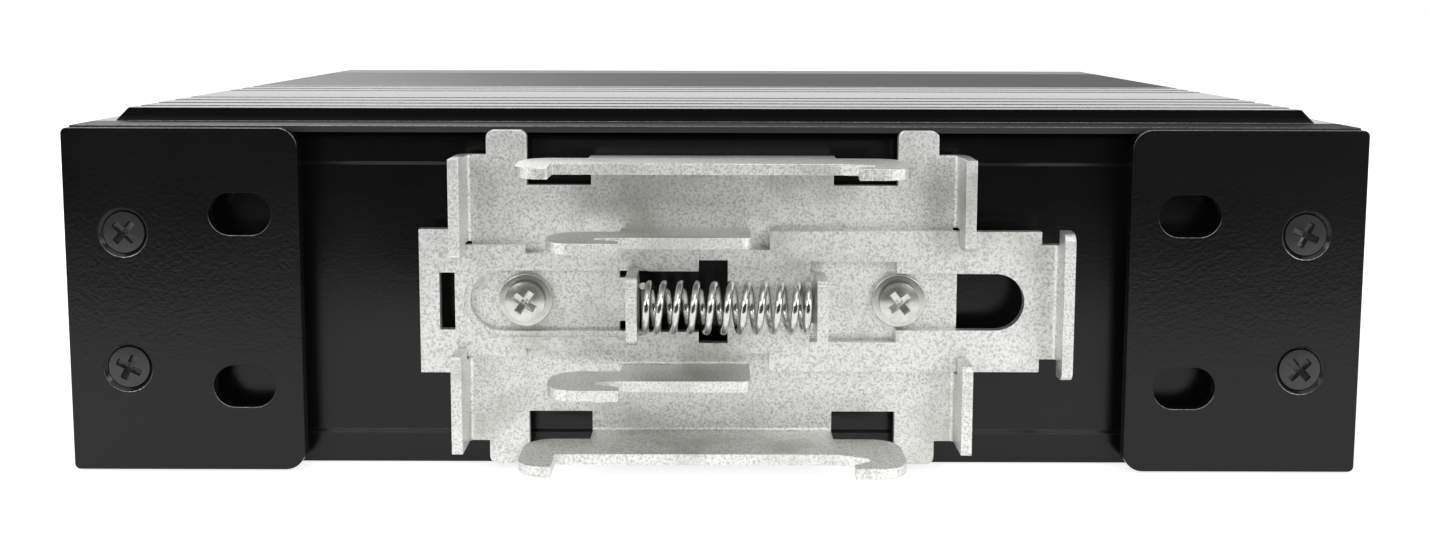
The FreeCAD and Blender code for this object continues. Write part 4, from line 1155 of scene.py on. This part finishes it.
@dataclass
class InnerParts:
    """Circuit board and what stands on it, closed in by the case."""

    shop: Workshop
    finishes: tuple[tuple[str, str], ...] = (
        ("circuit_board", "board_green"), ("board_standoffs", "bright_steel"),
        ("board_screws", "bright_steel"), ("magnetics", "chip_black"), ("switch_chip", "chip_black"),
        ("chip_heatsink", "sink_aluminium"), ("capacitors", "capacitor_sleeve"),
        ("power_inductor", "chip_black"))

    def build(self) -> None:
        """Paints each inner solid."""
        for node, finish in self.finishes:
            self.shop.paint(node, finish)


# ---------- studio


@dataclass
class Studio:
    """Pale floor and sky, soft lamps, dark card and cloth in front of the object, and the camera.

    Glossy faces mirror card and cloth, which the camera and diffuse light don't see and which cast no
    shadow.
    """

    floor_half: float = 6.0
    floor_depth: float = 0.02
    floor_gap: float = 0.0002
    floor_tone: float = 0.55
    floor_roughness: float = 0.9
    near_light: float = 0.76
    sweep_start: float = 0.14
    sweep_end: float = 0.40
    card_tone: float = 0.004
    fill: float = 0.4
    zenith: float = 0.2
    sky_range: tuple[float, float] = (0.05, 0.6)
    lamp_aim: tuple[float, float, float] = (0.0, -0.03, 0.02)
    camera_place: tuple[float, float, float] = (0.0, -0.2338, 0.0567)
    tilt_down: float = 6.05
    roll: float = 0.14
    lens: float = 36.22
    sensor: float = 36.0
    shift: float = -0.08
    near_clip: float = 0.01

    def build(self) -> None:
        """Sets up the whole studio."""
        self.build_floor()
        self.build_card()
        self.build_world()
        self.build_lamps()
        self.build_camera()
        bpy.context.scene.view_settings.view_transform = "Standard"

    def build_floor(self) -> None:
        """Square floor, a hair below the object."""
        half = self.floor_half
        floor = solid_box("floor", (-half, -half, -self.floor_depth), (half, half, -self.floor_gap),
                          self.floor_paint())

    def floor_paint(self) -> bpy.types.Material:
        """Diffuse pale coat with a light of its own that only camera and glossy rays see.

        The light is weaker round the object and full from the sweep's end outwards, where the floor is
        to be as white as the sky.

        Returns:
            The floor's material.
        """
        board = MaterialBoard("studio_floor", (self.floor_tone,) * 3, self.floor_roughness)
        board.drive("Specular IOR Level", 0.0)
        path = board.add("ShaderNodeLightPath")
        seen = board.combine("MAXIMUM", path.outputs["Is Camera Ray"], path.outputs["Is Glossy Ray"])
        reach = board.combine_vectors("LENGTH", board.place)
        light = board.ramp(reach, self.sweep_start, self.sweep_end, self.near_light, 1.0)
        board.drive("Emission Color", WHITE)
        board.drive("Emission Strength", board.combine("MULTIPLY", seen, light))
        return board.material

    def build_card(self) -> None:
        """Dark card that stands behind the camera and dark cloth that lies between it and the object, as
        painted shade that only glossy reflections show.
        """
        paint = MaterialBoard("studio_card", (self.card_tone,) * 3, 1.0).material
        for name, low, high in (
            ("dark_card", (-0.35, -0.27, -0.0001), (0.35, -0.265, 0.13)),
            ("dark_cloth", (-0.35, -0.265, -0.0001), (0.35, -0.175, 0.0005)),
        ):
            sheet = solid_box(name, low, high, paint)
            # painted shade in reflections: the camera, diffuse light and shadows pass these sheets by
            sheet.visible_camera = False
            sheet.visible_shadow = False
            sheet.visible_diffuse = False

    def build_world(self) -> None:
        """Pale surroundings, white to the camera, bright near the horizon and dimmer overhead for the rest.

        The strength is the share that the kind of ray gets times the sky's tone at that height.
        """
        world = bpy.data.worlds.new("studio")
        world.use_nodes = True
        bpy.context.scene.world = world
        board = NodeBoard(world.node_tree)
        light = board.tree.nodes["Background"]
        board.feed(light.inputs["Color"], WHITE)
        path = board.add("ShaderNodeLightPath")
        camera_ray = path.outputs["Is Camera Ray"]
        seen = board.combine("MAXIMUM", camera_ray, path.outputs["Is Glossy Ray"])
        seen = board.combine("MAXIMUM", seen, path.outputs["Is Transmission Ray"])
        share = board.ramp(seen, 0.0, 1.0, self.fill, 1.0)
        way = board.add("ShaderNodeTexCoord").outputs["Generated"]
        height = board.add("ShaderNodeSeparateXYZ", Vector=way).outputs["Z"]
        sky = board.ramp(height, *self.sky_range, 1.0, self.zenith, "SMOOTHSTEP")
        tone = board.combine("MULTIPLY", share, sky)
        board.feed(light.inputs["Strength"], board.combine("MAXIMUM", tone, camera_ray))

    def build_lamps(self) -> None:
        """A large soft lamp overhead, one at each side in front and a small one behind."""
        for name, place, size, power in (
            ("overhead", (0.0, -0.35, 0.7), 0.8, 2.8),
            ("front_left", (-0.55, -0.7, 0.30), 0.5, 4.4),
            ("front_right", (0.6, -0.65, 0.27), 0.5, 4.8),
            ("rim", (-0.25, 0.42, 0.42), 0.3, 1.6),
        ):
            lamp = bpy.data.lights.new(name, "AREA")
            lamp.energy = power
            lamp.size = size
            holder = put_in_scene(name, lamp)
            holder.location = place
            holder.rotation_mode = "QUATERNION"
            holder.rotation_quaternion = (Vector(self.lamp_aim) - Vector(place)).to_track_quat("-Z", "Y")

    def build_camera(self) -> None:
        """Camera low in front of the rail side."""
        data = bpy.data.cameras.new("camera")
        data.lens = self.lens
        data.sensor_width = self.sensor
        data.shift_y = self.shift
        data.clip_start = self.near_clip
        camera = put_in_scene("camera", data)
        pitch = Matrix.Rotation(math.radians(90 - self.tilt_down), 4, "X")
        roll = Matrix.Rotation(math.radians(self.roll), 4, "Z")
        camera.matrix_world = Matrix.Translation(self.camera_place) @ pitch @ roll
        bpy.context.scene.camera = camera


def main() -> None:
    """Builds the sub-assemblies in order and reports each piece."""
    logging.basicConfig(level=logging.INFO, format="%(name)s %(message)s")
    bpy.context.view_layer.update()
    shop = Workshop(Finishes())
    for assembly in (CaseShell, CaseScrews, RailClip, PortRow, PowerConnector, InnerParts):
        assembly(shop).build()
    Studio().build()
    bpy.context.view_layer.update()


if __name__ == "__main__":
    main()
